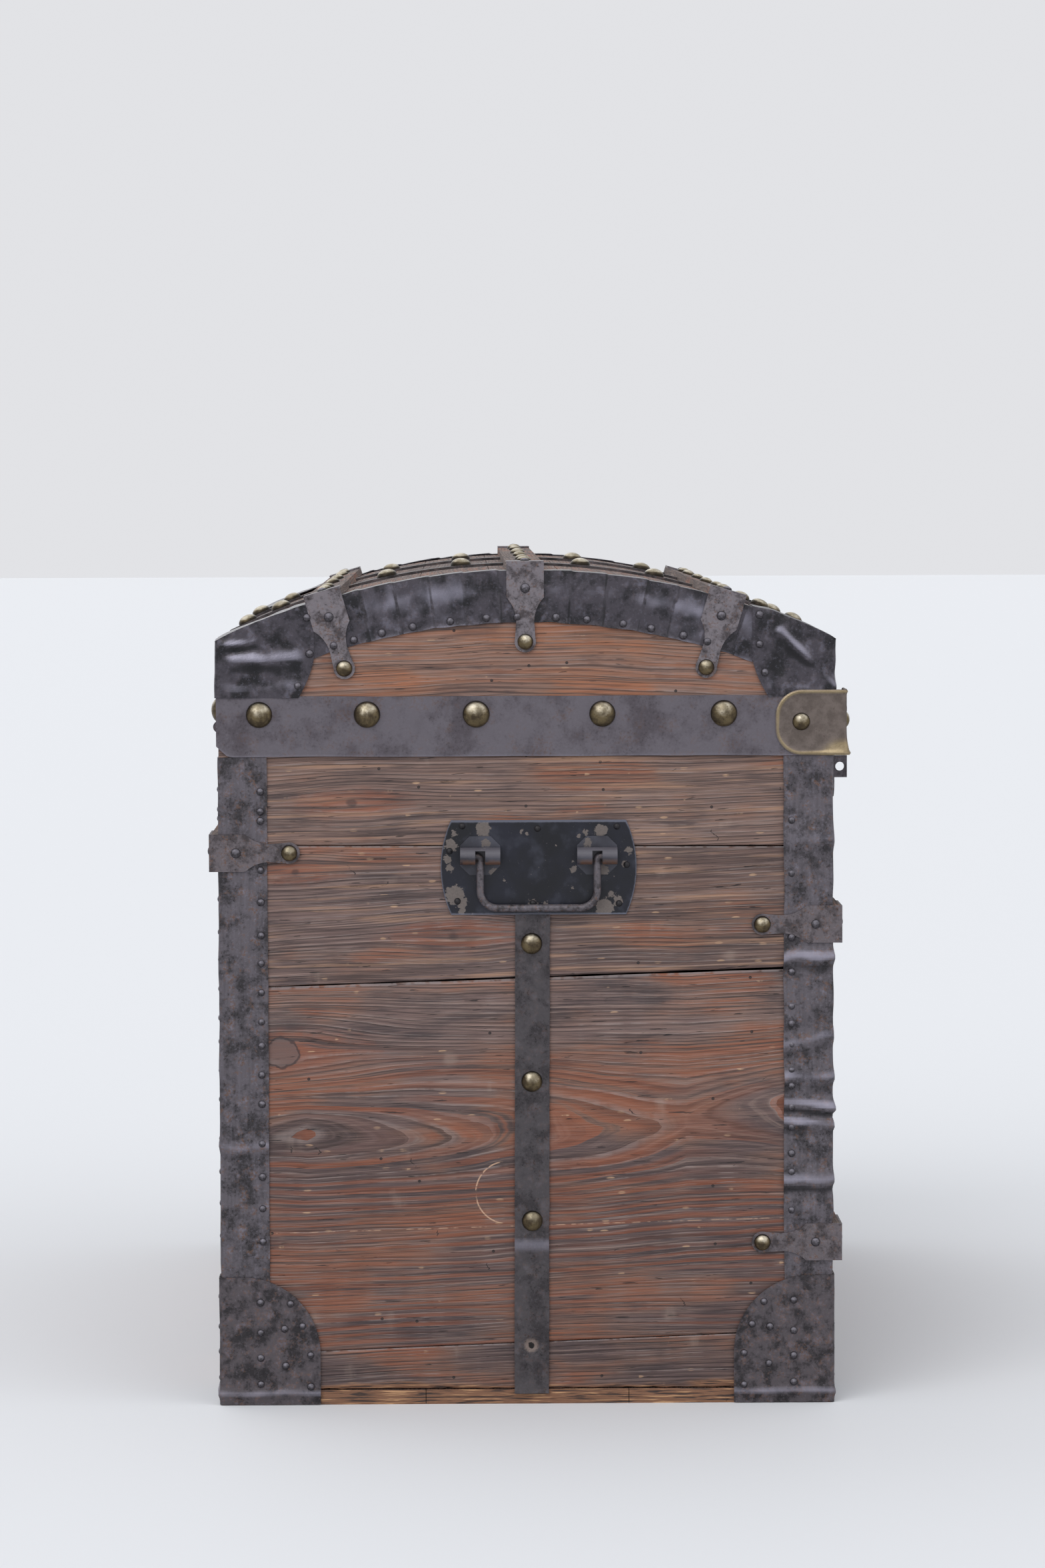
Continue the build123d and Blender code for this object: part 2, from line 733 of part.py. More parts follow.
def facing(point, direction):
    """Place of a nail: where its head's underside lies, and the way the head looks."""
    return Plane(origin=point, z_dir=direction).location


def drive(nodes, name, kind, places, through):
    """Make a group of like nails, and drill every named piece that they pass through."""
    head, rise, shank, reach = kind
    nodes.setdefault(name, []).extend(place * nail(*kind) for place in places)
    holes = [place * Pos(0, 0, -reach / 2) * Cylinder(shank / 2, reach) for place in places]
    for other in through:
        nodes[other] = [drilled(piece, holes) for piece in nodes[other]]


def drilled(piece, holes):
    """A piece with those of the holes that reach it."""
    box = piece.bounding_box()
    near = [hole for hole in holes if boxes_meet(box, hole.bounding_box())]
    return piece - near if near else piece


def boxes_meet(one, other):
    """True where two bounding boxes overlap."""
    return all(getattr(one.min, axis) < getattr(other.max, axis)
               and getattr(other.min, axis) < getattr(one.max, axis) for axis in "XYZ")


def build_body(nodes):
    """Wooden body: base and four walls."""
    nodes["base_boards"] = base_boards()
    nodes["near_end_boards"] = end_boards()
    nodes["far_end_boards"] = [at_far_end(board) for board in end_boards()]
    nodes["front_boards"] = front_boards()
    nodes["back_boards"] = back_boards()


def build_lid(nodes):
    """Wooden lid: end boards, walls and staves."""
    nodes["near_lid_end_board"] = [lid_end_board()]
    nodes["far_lid_end_board"] = [at_far_end(lid_end_board())]
    nodes["lid_front_board"] = [lid_front_board()]
    nodes["lid_back_board"] = [at_back(lid_front_board())]
    nodes["lid_staves"] = lid_staves()


def build_irons(nodes):
    """Sheet-iron skins on the corners and edges of body and lid."""
    for near, end in (("near", lambda piece: piece), ("far", at_far_end)):
        nodes[f"{near}_corner_irons"] = [end(corner_iron()), end(at_back(corner_iron()))]
        nodes[f"{near}_base_caps"] = [end(base_cap()), end(at_back(base_cap()))]
        nodes[f"{near}_lid_caps"] = [end(lid_corner_cap()), end(at_back(lid_corner_cap()))]
        nodes[f"{near}_lid_edging"] = [end(lid_edging())]
        nodes[f"{near}_rim_band"] = [end(end_rim_band())]
    nodes["centre_straps"] = [centre_strap(), at_far_end(centre_strap())]
    nodes["lid_hoops"] = [lid_hoop(), at_far_end(lid_hoop())]
    nodes["front_rim_rail"] = [front_rim_rail()]
    nodes["front_rim_band"] = [front_rim_band()]
    nodes["back_rim_band"] = back_rim_band()
    nodes["rim_corner_caps"] = [rim_corner_cap(), at_far_end(rim_corner_cap())]


def build_slats(nodes):
    """Slats along body and lid, notched over the irons that they cross, and their clamps."""
    lean = dome_angle(lid_slat_spacing)
    under = (nodes["lid_hoops"] + nodes["near_lid_edging"] + nodes["far_lid_edging"]
             + nodes["near_lid_caps"] + nodes["far_lid_caps"])
    for name, angle in (("front", lean), ("middle", 0), ("back", -lean)):
        nodes[f"lid_slat_{name}"] = [rolled(lid_slat(), angle) - under]
    irons = nodes["near_corner_irons"] + nodes["far_corner_irons"]
    upper, lower = front_slat_heights
    nodes["front_slat_upper"] = [front_slat(upper) - irons]
    nodes["front_slat_lower"] = [front_slat(lower) - irons]
    nodes["back_slat"] = [at_back(front_slat(back_slat_height)) - irons]
    clamps = [body_clamp(upper), body_clamp(lower), at_back(body_clamp(back_slat_height))]
    nodes["body_slat_clamps"] = clamps + [at_far_end(clamp) for clamp in clamps]
    clamps = [rolled(lid_clamp(), angle) for angle in (lean, 0, -lean)]
    nodes["lid_slat_clamps"] = clamps + [at_far_end(clamp) for clamp in clamps]


def build_handles(nodes):
    """Two handles, each of a plate, two loops and a bail."""
    for near, end in (("near", lambda piece: piece), ("far", at_far_end)):
        nodes[f"{near}_handle_plate"] = [end(handle_plate())]
        nodes[f"{near}_handle_loops"] = [end(handle_loop(side)) for side in (-1, 1)]
        nodes[f"{near}_bail"] = [end(bail())]


def build_fittings(nodes):
    """Hinges on the back, lock and side catches on the front."""
    hinges = (-hinge_spacing / 2, hinge_spacing / 2)
    nodes["hinge_body_leaves"] = [hinge_body_leaf(middle) for middle in hinges]
    nodes["hinge_lid_leaves"] = [hinge_lid_leaf(middle) for middle in hinges]
    nodes["hinge_pins"] = [hinge_pin(middle) for middle in hinges]
    nodes["lock_case"] = [lock_case()]
    nodes["lock_bolt"] = [lock_bolt()]
    nodes["lock_hasp"] = [lock_hasp()]
    catches = (-catch_spacing / 2, catch_spacing / 2)
    nodes["near_catch"], nodes["far_catch"] = [[side_catch(middle)] for middle in catches]
    nodes["catch_keepers"] = [catch_keeper(middle) for middle in catches]
    nodes["hasp_leaves"] = ([hasp_leaf(0, hasp_width)]
                            + [hasp_leaf(middle, catch_width) for middle in catches])
    nodes["hasp_pins"] = ([hasp_pin(0, hasp_width)]
                          + [hasp_pin(middle, catch_width) for middle in catches])


def both_ends(places_at):
    """Nail places on the near end and their like on the far end, from a function of the side."""
    return places_at(-1) + places_at(1)


def rim_nail_places():
    """Domed nails round the rim band, all above the foot of the lid."""
    height = band_bottom + band_height * rim_nail_height_share

    def on_end(side):
        return [facing((side * (half_length + band_thickness), share * half_depth, height),
                       (side, 0, 0)) for share in rim_nail_shares]

    places = both_ends(on_end)
    head_radius = rim_nail[0] / 2
    outer = half_length - rim_cap_width - rim_cap_clearance - head_radius
    middle = (hinge_spacing - hinge_width) / 2 - rim_nail_clearance - head_radius
    for distance in (outer, middle, middle * rim_inner_nail_share):
        for x in (-distance, distance):
            places.append(facing((x, -rim_face, height), (0, -1, 0)))
            places.append(facing((x, half_depth + band_thickness, height), (0, 1, 0)))
    return places


def rim_cap_nail_places():
    """One nail through each face of the brass corner caps."""
    height = band_bottom + band_height * rim_cap_nail_share
    inset = rim_cap_width - rim_cap_round

    def on_end(side):
        x = side * (half_length + band_thickness + brass_thickness)
        return [facing((x, -rim_face + inset, height), (side, 0, 0)),
                facing((x - side * inset, -rim_face - brass_thickness, height), (0, -1, 0))]

    return both_ends(on_end)


def hoop_nail_places():
    """Domed nails on both hoops, between the slats."""
    places = []
    radius = dome_radius + hoop_thickness
    for side in (-1, 1):
        x = side * (half_length - length * hoop_share)
        for share in hoop_nail_shares:
            for half in (-1, 1):
                turn = math.radians(half * share * dome_half_angle)
                places.append(facing((x, radius * math.sin(turn), dome_centre + radius * math.cos(turn)),
                                     (0, math.sin(turn), math.cos(turn))))
    return places


def strap_nail_places():
    """Domed nails down both centre straps."""
    run = handle_height - handle_plate_height / 2 - strap_foot

    def on_end(side):
        return [facing((side * (body_half_length + strap_thickness), strap_offset,
                        strap_foot + share * run), (side, 0, 0)) for share in strap_nail_shares]

    return both_ends(on_end)


def body_clamp_places(drop):
    """Places on the end faces of the body's clamps, at that distance from the fold."""
    fold = body_half_depth + slat_thickness + clamp_thickness
    rows = [(-1, height) for height in front_slat_heights] + [(1, back_slat_height)]

    def on_end(side):
        return [facing((side * (body_half_length + sheet + clamp_thickness), hand * (fold - drop),
                        height), (side, 0, 0)) for hand, height in rows]

    return both_ends(on_end)


def body_grip_places():
    """Places on the long faces of the body's clamps and along the slats."""
    rows = [(-1, height) for height in front_slat_heights] + [(1, back_slat_height)]
    y = body_half_depth + slat_thickness + clamp_thickness
    return [facing((side * (body_half_length - clamp_grip / 2), hand * y, height), (0, hand, 0))
            for hand, height in rows for side in (-1, 1)]


def lid_clamp_places(drop):
    """Places on the hanging tabs of the lid's clamps, at that distance from the fold."""
    places = []
    radius = dome_radius + slat_thickness + clamp_thickness - drop
    for lean in lid_slat_leans():
        turn = math.radians(lean)
        for side in (-1, 1):
            places.append(facing((side * (half_length + sheet + clamp_thickness),
                                  radius * math.sin(turn), dome_centre + radius * math.cos(turn)),
                                 (side, 0, 0)))
    return places


def lid_slat_leans():
    """Angles of the three lid slats round the dome."""
    lean = dome_angle(lid_slat_spacing)
    return (-lean, 0, lean)


def along_lid_slats(distances, thickness):
    """Places on top of the lid slats at those distances from the middle of the trunk."""
    places = []
    radius = dome_radius + slat_thickness + thickness
    for lean in lid_slat_leans():
        turn = math.radians(lean)
        for x in distances:
            places.append(facing((x, radius * math.sin(turn), dome_centre + radius * math.cos(turn)),
                                 (0, math.sin(turn), math.cos(turn))))
    return places


def along_body_slats(distances):
    """Places on the faces of the body slats at those distances from the middle of the trunk."""
    rows = [(-1, height) for height in front_slat_heights] + [(1, back_slat_height)]
    y = body_half_depth + slat_thickness
    return [facing((x, hand * y, height), (0, hand, 0)) for hand, height in rows for x in distances]


def handle_rivet_places():
    """Small rivets round both handle plates."""
    x = body_half_length + handle_plate_thickness

    def on_end(side):
        return [facing((side * x, handle_offset + across * handle_plate_width / 2,
                        handle_height + up * handle_plate_height / 2), (side, 0, 0))
                for across, up in handle_rivet_shares]

    return both_ends(on_end)


def hinge_screw_places(leaf_low, leaf_high, seat):
    """Four screws on each hinge leaf between two heights."""
    inset = (leaf_high - leaf_low) * screw_inset_share
    return [facing((middle + side * hinge_width * screw_side_share, seat + hinge_leaf, height),
                   (0, 1, 0))
            for middle in (-hinge_spacing / 2, hinge_spacing / 2) for side in (-1, 1)
            for height in (leaf_low + inset, leaf_high - inset)]


def front_screw_places():
    """Screws of the lock case and the keepers, and of the hasp leaves."""
    inset = leaf_screw[0]
    body, lid = [], []
    for side in (-1, 1):
        for height in (lock_foot + inset, lock_top - inset):
            body.append(facing((side * (lock_width / 2 - inset), -rim_face, height), (0, -1, 0)))
        for middle in (-catch_spacing / 2, catch_spacing / 2):
            x = middle + side * (keeper_width - inset) / 2
            body.append(facing((x, -rim_face, keeper_middle - (keeper_height - inset) / 2), (0, -1, 0)))
            lid.append(facing((middle + side * catch_width * screw_side_share, leaf_face,
                               leaf_screw_height), (0, -1, 0)))
        lid.append(facing((side * hasp_width * screw_side_share, leaf_face, leaf_screw_height),
                          (0, -1, 0)))
    return body, lid


leaf_face = -rim_face - hinge_leaf
leaf_screw_height = (hasp_axis_z + hasp_knuckle_radius + loose + band_top) / 2


def nail_up(nodes):
    """Every nail, rivet and screw, by kind."""
    staves = ["lid_staves"]
    lid_ends = ["near_lid_end_board", "far_lid_end_board"]
    end_walls = ["near_end_boards", "far_end_boards"]
    lid_slats = ["lid_slat_front", "lid_slat_middle", "lid_slat_back"]
    body_slats = ["front_slat_upper", "front_slat_lower", "back_slat"]
    drive(nodes, "rim_nails", rim_nail, rim_nail_places(),
          ["near_rim_band", "far_rim_band", "front_rim_band", "back_rim_band", "front_rim_rail",
           "lid_front_board", "lid_back_board"] + lid_ends)
    drive(nodes, "rim_nails", rim_cap_nail, rim_cap_nail_places(),
          ["rim_corner_caps", "near_rim_band", "far_rim_band", "front_rim_band", "front_rim_rail",
           "lid_front_board"] + lid_ends)
    drive(nodes, "hoop_nails", hoop_nail, hoop_nail_places(), ["lid_hoops"] + staves)
    drive(nodes, "strap_nails", strap_nail, strap_nail_places(),
          ["centre_straps"] + end_walls)
    drive(nodes, "body_slat_nails", clamp_nail, body_clamp_places(clamp_eye_drop),
          ["body_slat_clamps"] + end_walls)
    drive(nodes, "body_slat_nails", clamp_rivet, body_clamp_places(clamp_rivet_drop + slat_thickness)
          + body_grip_places(),
          ["body_slat_clamps", "near_corner_irons", "far_corner_irons", "front_boards",
           "back_boards"] + body_slats + end_walls)
    drive(nodes, "lid_slat_nails", clamp_nail, lid_clamp_places(clamp_eye_drop),
          ["lid_slat_clamps", "near_lid_edging", "far_lid_edging"] + lid_ends)
    drive(nodes, "lid_slat_nails", clamp_rivet, lid_clamp_places(clamp_rivet_drop + slat_thickness)
          + along_lid_slats([side * (half_length - clamp_grip / 2) for side in (-1, 1)],
                            clamp_thickness),
          ["lid_slat_clamps", "near_lid_edging", "far_lid_edging"] + lid_ends + lid_slats + staves)
    along = [side * share * half_length for share in slat_nail_shares for side in (-1, 1)]
    drive(nodes, "lid_slat_nails", slat_nail, along_lid_slats(along, 0), lid_slats + staves)
    drive(nodes, "body_slat_nails", slat_nail, along_body_slats(along),
          body_slats + ["front_boards", "back_boards"])
    drive(nodes, "handle_rivets", handle_rivet, handle_rivet_places(),
          ["near_handle_plate", "far_handle_plate"] + end_walls)
    low = hinge_axis_z - knuckle_radius - loose
    drive(nodes, "body_screws", leaf_screw,
          hinge_screw_places(body_height - hinge_body_length, low, body_half_depth),
          ["hinge_body_leaves", "back_boards"])
    drive(nodes, "lid_screws", leaf_screw,
          hinge_screw_places(hinge_axis_z + knuckle_radius + loose, band_top, half_depth),
          ["hinge_lid_leaves", "lid_back_board"])
    body, lid = front_screw_places()
    drive(nodes, "body_screws", leaf_screw, body, ["lock_case", "catch_keepers", "front_boards"])
    drive(nodes, "lid_screws", leaf_screw, lid,
          ["hasp_leaves", "front_rim_band", "front_rim_rail", "lid_front_board"])


def main():
    """Build every node and write each to its own file."""
    os.makedirs("parts", exist_ok=True)
    nodes = {}
    build_body(nodes)
    build_lid(nodes)
    build_irons(nodes)
    build_slats(nodes)
    build_handles(nodes)
    build_fittings(nodes)
    nail_up(nodes)
    print(len(nodes), "nodes")
    for name, pieces in nodes.items():
        solids = [solid for piece in pieces for solid in piece.solids()]
        export_step(Compound(children=solids), f"parts/{name}.step")


main()
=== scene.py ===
import math

import bpy
import numpy as np
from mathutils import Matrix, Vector, noise


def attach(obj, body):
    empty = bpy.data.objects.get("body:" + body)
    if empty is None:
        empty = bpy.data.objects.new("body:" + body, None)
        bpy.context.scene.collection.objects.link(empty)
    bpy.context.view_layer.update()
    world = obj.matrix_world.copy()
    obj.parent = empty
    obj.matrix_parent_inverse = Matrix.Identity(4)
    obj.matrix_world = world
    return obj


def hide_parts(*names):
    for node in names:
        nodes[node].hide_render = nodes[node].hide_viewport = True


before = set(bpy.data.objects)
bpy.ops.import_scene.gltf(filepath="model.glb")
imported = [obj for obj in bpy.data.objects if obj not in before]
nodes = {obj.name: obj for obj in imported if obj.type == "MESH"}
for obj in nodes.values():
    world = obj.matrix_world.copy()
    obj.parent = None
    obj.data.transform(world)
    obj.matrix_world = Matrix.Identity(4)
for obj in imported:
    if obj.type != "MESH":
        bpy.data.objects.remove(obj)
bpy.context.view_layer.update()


# The room: a pale floor, a pale surround and soft lamps, with the camera low in front of the
# trunk's near end, as far off as the photograph shows. All sizes are millimetres, made metres
# where they reach Blender.
metre = 0.001
photo_height = 2352
focal_pixels = 7414
camera_place = (-4089, 50.4, 698.8)
camera_turn, camera_dip, camera_roll = 0.746, 3.58, 0.179
film_height, sight_reach = 36, 200  # millimetres and metres, as Blender takes them
floor_reach = 30000
floor_colour = (0.76, 0.765, 0.79, 1)
sky_colour, sky_strength = (0.92, 0.96, 1, 1), 0.55
lamps = (  # the way each soft lamp shines from, its strength and how wide it is in degrees
    ((-1.0, 0.55, 0.9), 1.25, 50),
    ((-0.8, -1.0, 0.5), 0.65, 70),
    ((0.2, 0.1, 1.0), 0.45, 90),
    ((1.0, 0.6, 0.7), 0.5, 70),
)

lens = bpy.data.cameras.new("photo_camera")
lens.sensor_fit = "VERTICAL"
lens.sensor_height = film_height
lens.lens = focal_pixels / photo_height * lens.sensor_height
lens.clip_end = sight_reach
camera = bpy.data.objects.new("photo_camera", lens)
turn, dip = math.radians(camera_turn), math.radians(camera_dip)
sight = Vector((math.cos(dip) * math.cos(turn), -math.cos(dip) * math.sin(turn), -math.sin(dip)))
camera.rotation_euler = sight.to_track_quat("-Z", "Y").to_euler()
camera.rotation_euler.rotate_axis("Z", -math.radians(camera_roll))
camera.location = Vector(camera_place) * metre
bpy.context.scene.collection.objects.link(camera)
bpy.context.scene.camera = camera
bpy.context.scene.view_settings.view_transform = "Standard"

for way, strength, width in lamps:
    light = bpy.data.lights.new("lamp", "SUN")
    light.angle = math.radians(width)
    light.energy = strength
    lamp = bpy.data.objects.new("lamp", light)
    lamp.rotation_euler = Vector(way).to_track_quat("Z", "Y").to_euler()
    bpy.context.scene.collection.objects.link(lamp)

world = bpy.data.worlds.new("surround")
world.use_nodes = True
bpy.context.scene.world = world
sky = world.node_tree
sky.nodes.clear()
rays = sky.nodes.new("ShaderNodeLightPath")
sees_floor = rays.outputs["Is Camera Ray"]
for ray in ("Is Glossy Ray", "Is Transmission Ray"):
    more = sky.nodes.new("ShaderNodeMath")
    more.operation = "MAXIMUM"
    sky.links.new(sees_floor, more.inputs[0])
    sky.links.new(rays.outputs[ray], more.inputs[1])
    sees_floor = more.outputs[0]
soft = sky.nodes.new("ShaderNodeBackground")
soft.inputs["Color"].default_value = sky_colour
soft.inputs["Strength"].default_value = sky_strength
pale = sky.nodes.new("ShaderNodeBackground")
pale.inputs["Color"].default_value = floor_colour
pale.inputs["Strength"].default_value = 1
either = sky.nodes.new("ShaderNodeMixShader")
sky.links.new(sees_floor, either.inputs[0])
sky.links.new(soft.outputs[0], either.inputs[1])
sky.links.new(pale.outputs[0], either.inputs[2])
air = sky.nodes.new("ShaderNodeOutputWorld")
sky.links.new(either.outputs[0], air.inputs[0])

floor_mesh = bpy.data.meshes.new("floor")
edge = floor_reach * metre
floor_mesh.from_pydata([(-edge, -edge, 0), (edge, -edge, 0), (edge, edge, 0), (-edge, edge, 0)],
                       [], [(0, 1, 2, 3)])
floor = bpy.data.objects.new("floor", floor_mesh)
bpy.context.scene.collection.objects.link(floor)
floor_paint = bpy.data.materials.new("floor_paint")
floor_paint.use_nodes = True
paint = floor_paint.node_tree.nodes["Principled BSDF"]
paint.inputs["Base Color"].default_value = floor_colour
paint.inputs["Roughness"].default_value = 0.9
floor_mesh.materials.append(floor_paint)


# The boards of body and lid: old pine, once stained red-brown, now grey on the ridges of its
# grain and orange where the stain has stayed in the broad summer rings. The walls are boards
# one above another with open joints; the lid's ends are one board each, under nine staves.
half_length, half_depth = 400.0, 230.0
body_face, body_side = 399.6, 229.6  # the body's outer faces, a little inside the lid's
wall = 12.0
crown, dome_rise = 627.0, 52.5
dome_radius = (half_depth ** 2 + dome_rise ** 2) / (2 * dome_rise)
dome_centre = crown - dome_radius
dome_half_angle = math.asin(half_depth / dome_radius)
stave_count = 9
stave_pitch = 2 * dome_half_angle * dome_radius / stave_count
side_joints = (188.5, 356.1)
end_joints = (45.0, 320.1, 422.2)
base_board_width = 153.0


def tone(red, green, blue):
    """A screen colour, 0 to 255, as the linear colour that a finish takes."""
    line = [((c / 255 + 0.055) / 1.055) ** 2.4 if c > 10 else c / 255 / 12.92
            for c in (red, green, blue)]
    return (*line, 1)


class Pattern:
    """One number, colour or vector of a finish, used in ordinary expressions."""

    def __init__(self, finish, socket):
        self.finish, self.socket = finish, socket

    def maths(self, operation, *values):
        return self.finish.node("ShaderNodeMath", {"operation": operation},
                                dict(enumerate(values)))

    def __add__(self, other):
        return self.maths("ADD", self, other)

    def __sub__(self, other):
        return self.maths("SUBTRACT", self, other)

    def __rsub__(self, other):
        return self.maths("SUBTRACT", other, self)

    def __mul__(self, other):
        return self.maths("MULTIPLY", self, other)

    def __truediv__(self, other):
        return self.maths("DIVIDE", self, other)

    def __pow__(self, other):
        return self.maths("POWER", self, other)

    __radd__, __rmul__ = __add__, __mul__

    def size(self):
        return self.maths("ABSOLUTE", self)

    def whole(self):
        return self.maths("FLOOR", self)

    def part(self):
        return self.maths("FRACT", self)

    def most(self, other):
        return self.maths("MAXIMUM", self, other)

    def least(self, other):
        return self.maths("MINIMUM", self, other)

    def ramp(self, start, end):
        """0 at start, 1 at end, and smooth between them."""
        return self.finish.node("ShaderNodeMapRange", {"interpolation_type": "SMOOTHSTEP"},
                                {"Value": self, "From Min": start, "From Max": end})

    def past(self, edge):
        """0 below an edge and 1 above it."""
        return self.ramp(edge, edge + 0.01)


class Finish:
    """A material that is built up from patterns in millimetres."""

    def __init__(self, name):
        self.material = bpy.data.materials.new(name)
        self.material.use_nodes = True
        self.tree = self.material.node_tree
        self.tree.nodes.clear()
        place = self.node("ShaderNodeTexCoord", {}, {}, "Object")
        self.place = self.node("ShaderNodeVectorMath", {"operation": "SCALE"},
                               {0: place, "Scale": 1 / metre})
        split = {axis: self.node("ShaderNodeSeparateXYZ", {}, {0: self.place}, axis)
                 for axis in ("X", "Y", "Z")}
        self.x, self.y, self.z = split["X"], split["Y"], split["Z"]

    def node(self, kind, settings, sockets, output=0):
        """One node: its settings first, then the value or the pattern of each socket."""
        made = self.tree.nodes.new(kind)
        for key, value in settings.items():
            setattr(made, key, value)
        for key, value in sockets.items():
            if isinstance(value, Pattern):
                self.tree.links.new(value.socket, made.inputs[key])
            else:
                made.inputs[key].default_value = value
        return Pattern(self, made.outputs[output]) if made.outputs else None

    def vector(self, x, y, z):
        return self.node("ShaderNodeCombineXYZ", {}, {0: x, 1: y, 2: z})

    def cloud(self, place, scale=1.0, detail=2.0, rough=0.5):
        """Soft random spots, about 1 / scale across, from 0 to 1."""
        return self.node("ShaderNodeTexNoise", {"noise_dimensions": "3D"},
                         {"Vector": place, "Scale": scale, "Detail": detail, "Roughness": rough})

    def cells(self, x, y, output="Distance"):
        """How far the nearest of a plane's random dots is, or that dot's own random colour."""
        return self.node("ShaderNodeTexVoronoi", {"voronoi_dimensions": "2D", "feature": "F1"},
                         {"Vector": self.vector(x, y, 0.0), "Scale": 1.0}, output)

    def kept(self, name):
        """A number that is kept with the mesh's points."""
        return self.node("ShaderNodeAttribute", {"attribute_name": name}, {}, "Fac")

    def mix(self, share, one, two):
        return self.node("ShaderNodeMix", {"data_type": "RGBA"}, {0: share, 6: one, 7: two}, 2)

    def coats(self, colour, *coats):
        """A colour under some coats: how much of each one shows, and its screen colour."""
        for share, shade in coats:
            colour = self.mix(share, colour, tone(*shade))
        return colour

    def done(self, colour, roughness, relief, depth, metallic=0.0, constants=None):
        """The finished material: colour, gloss and a relief that is depth mm deep."""
        bumped = self.node("ShaderNodeBump", {}, {"Strength": 1, "Distance": depth * metre,
                                                  "Height": relief}, "Normal")
        sockets = {"Base Color": colour, "Roughness": roughness, "Metallic": metallic,
                   "Normal": bumped}
        sockets.update(constants or {})
        skin = self.node("ShaderNodeBsdfPrincipled", {}, sockets)
        self.node("ShaderNodeOutputMaterial", {}, {0: skin})
        return self.material


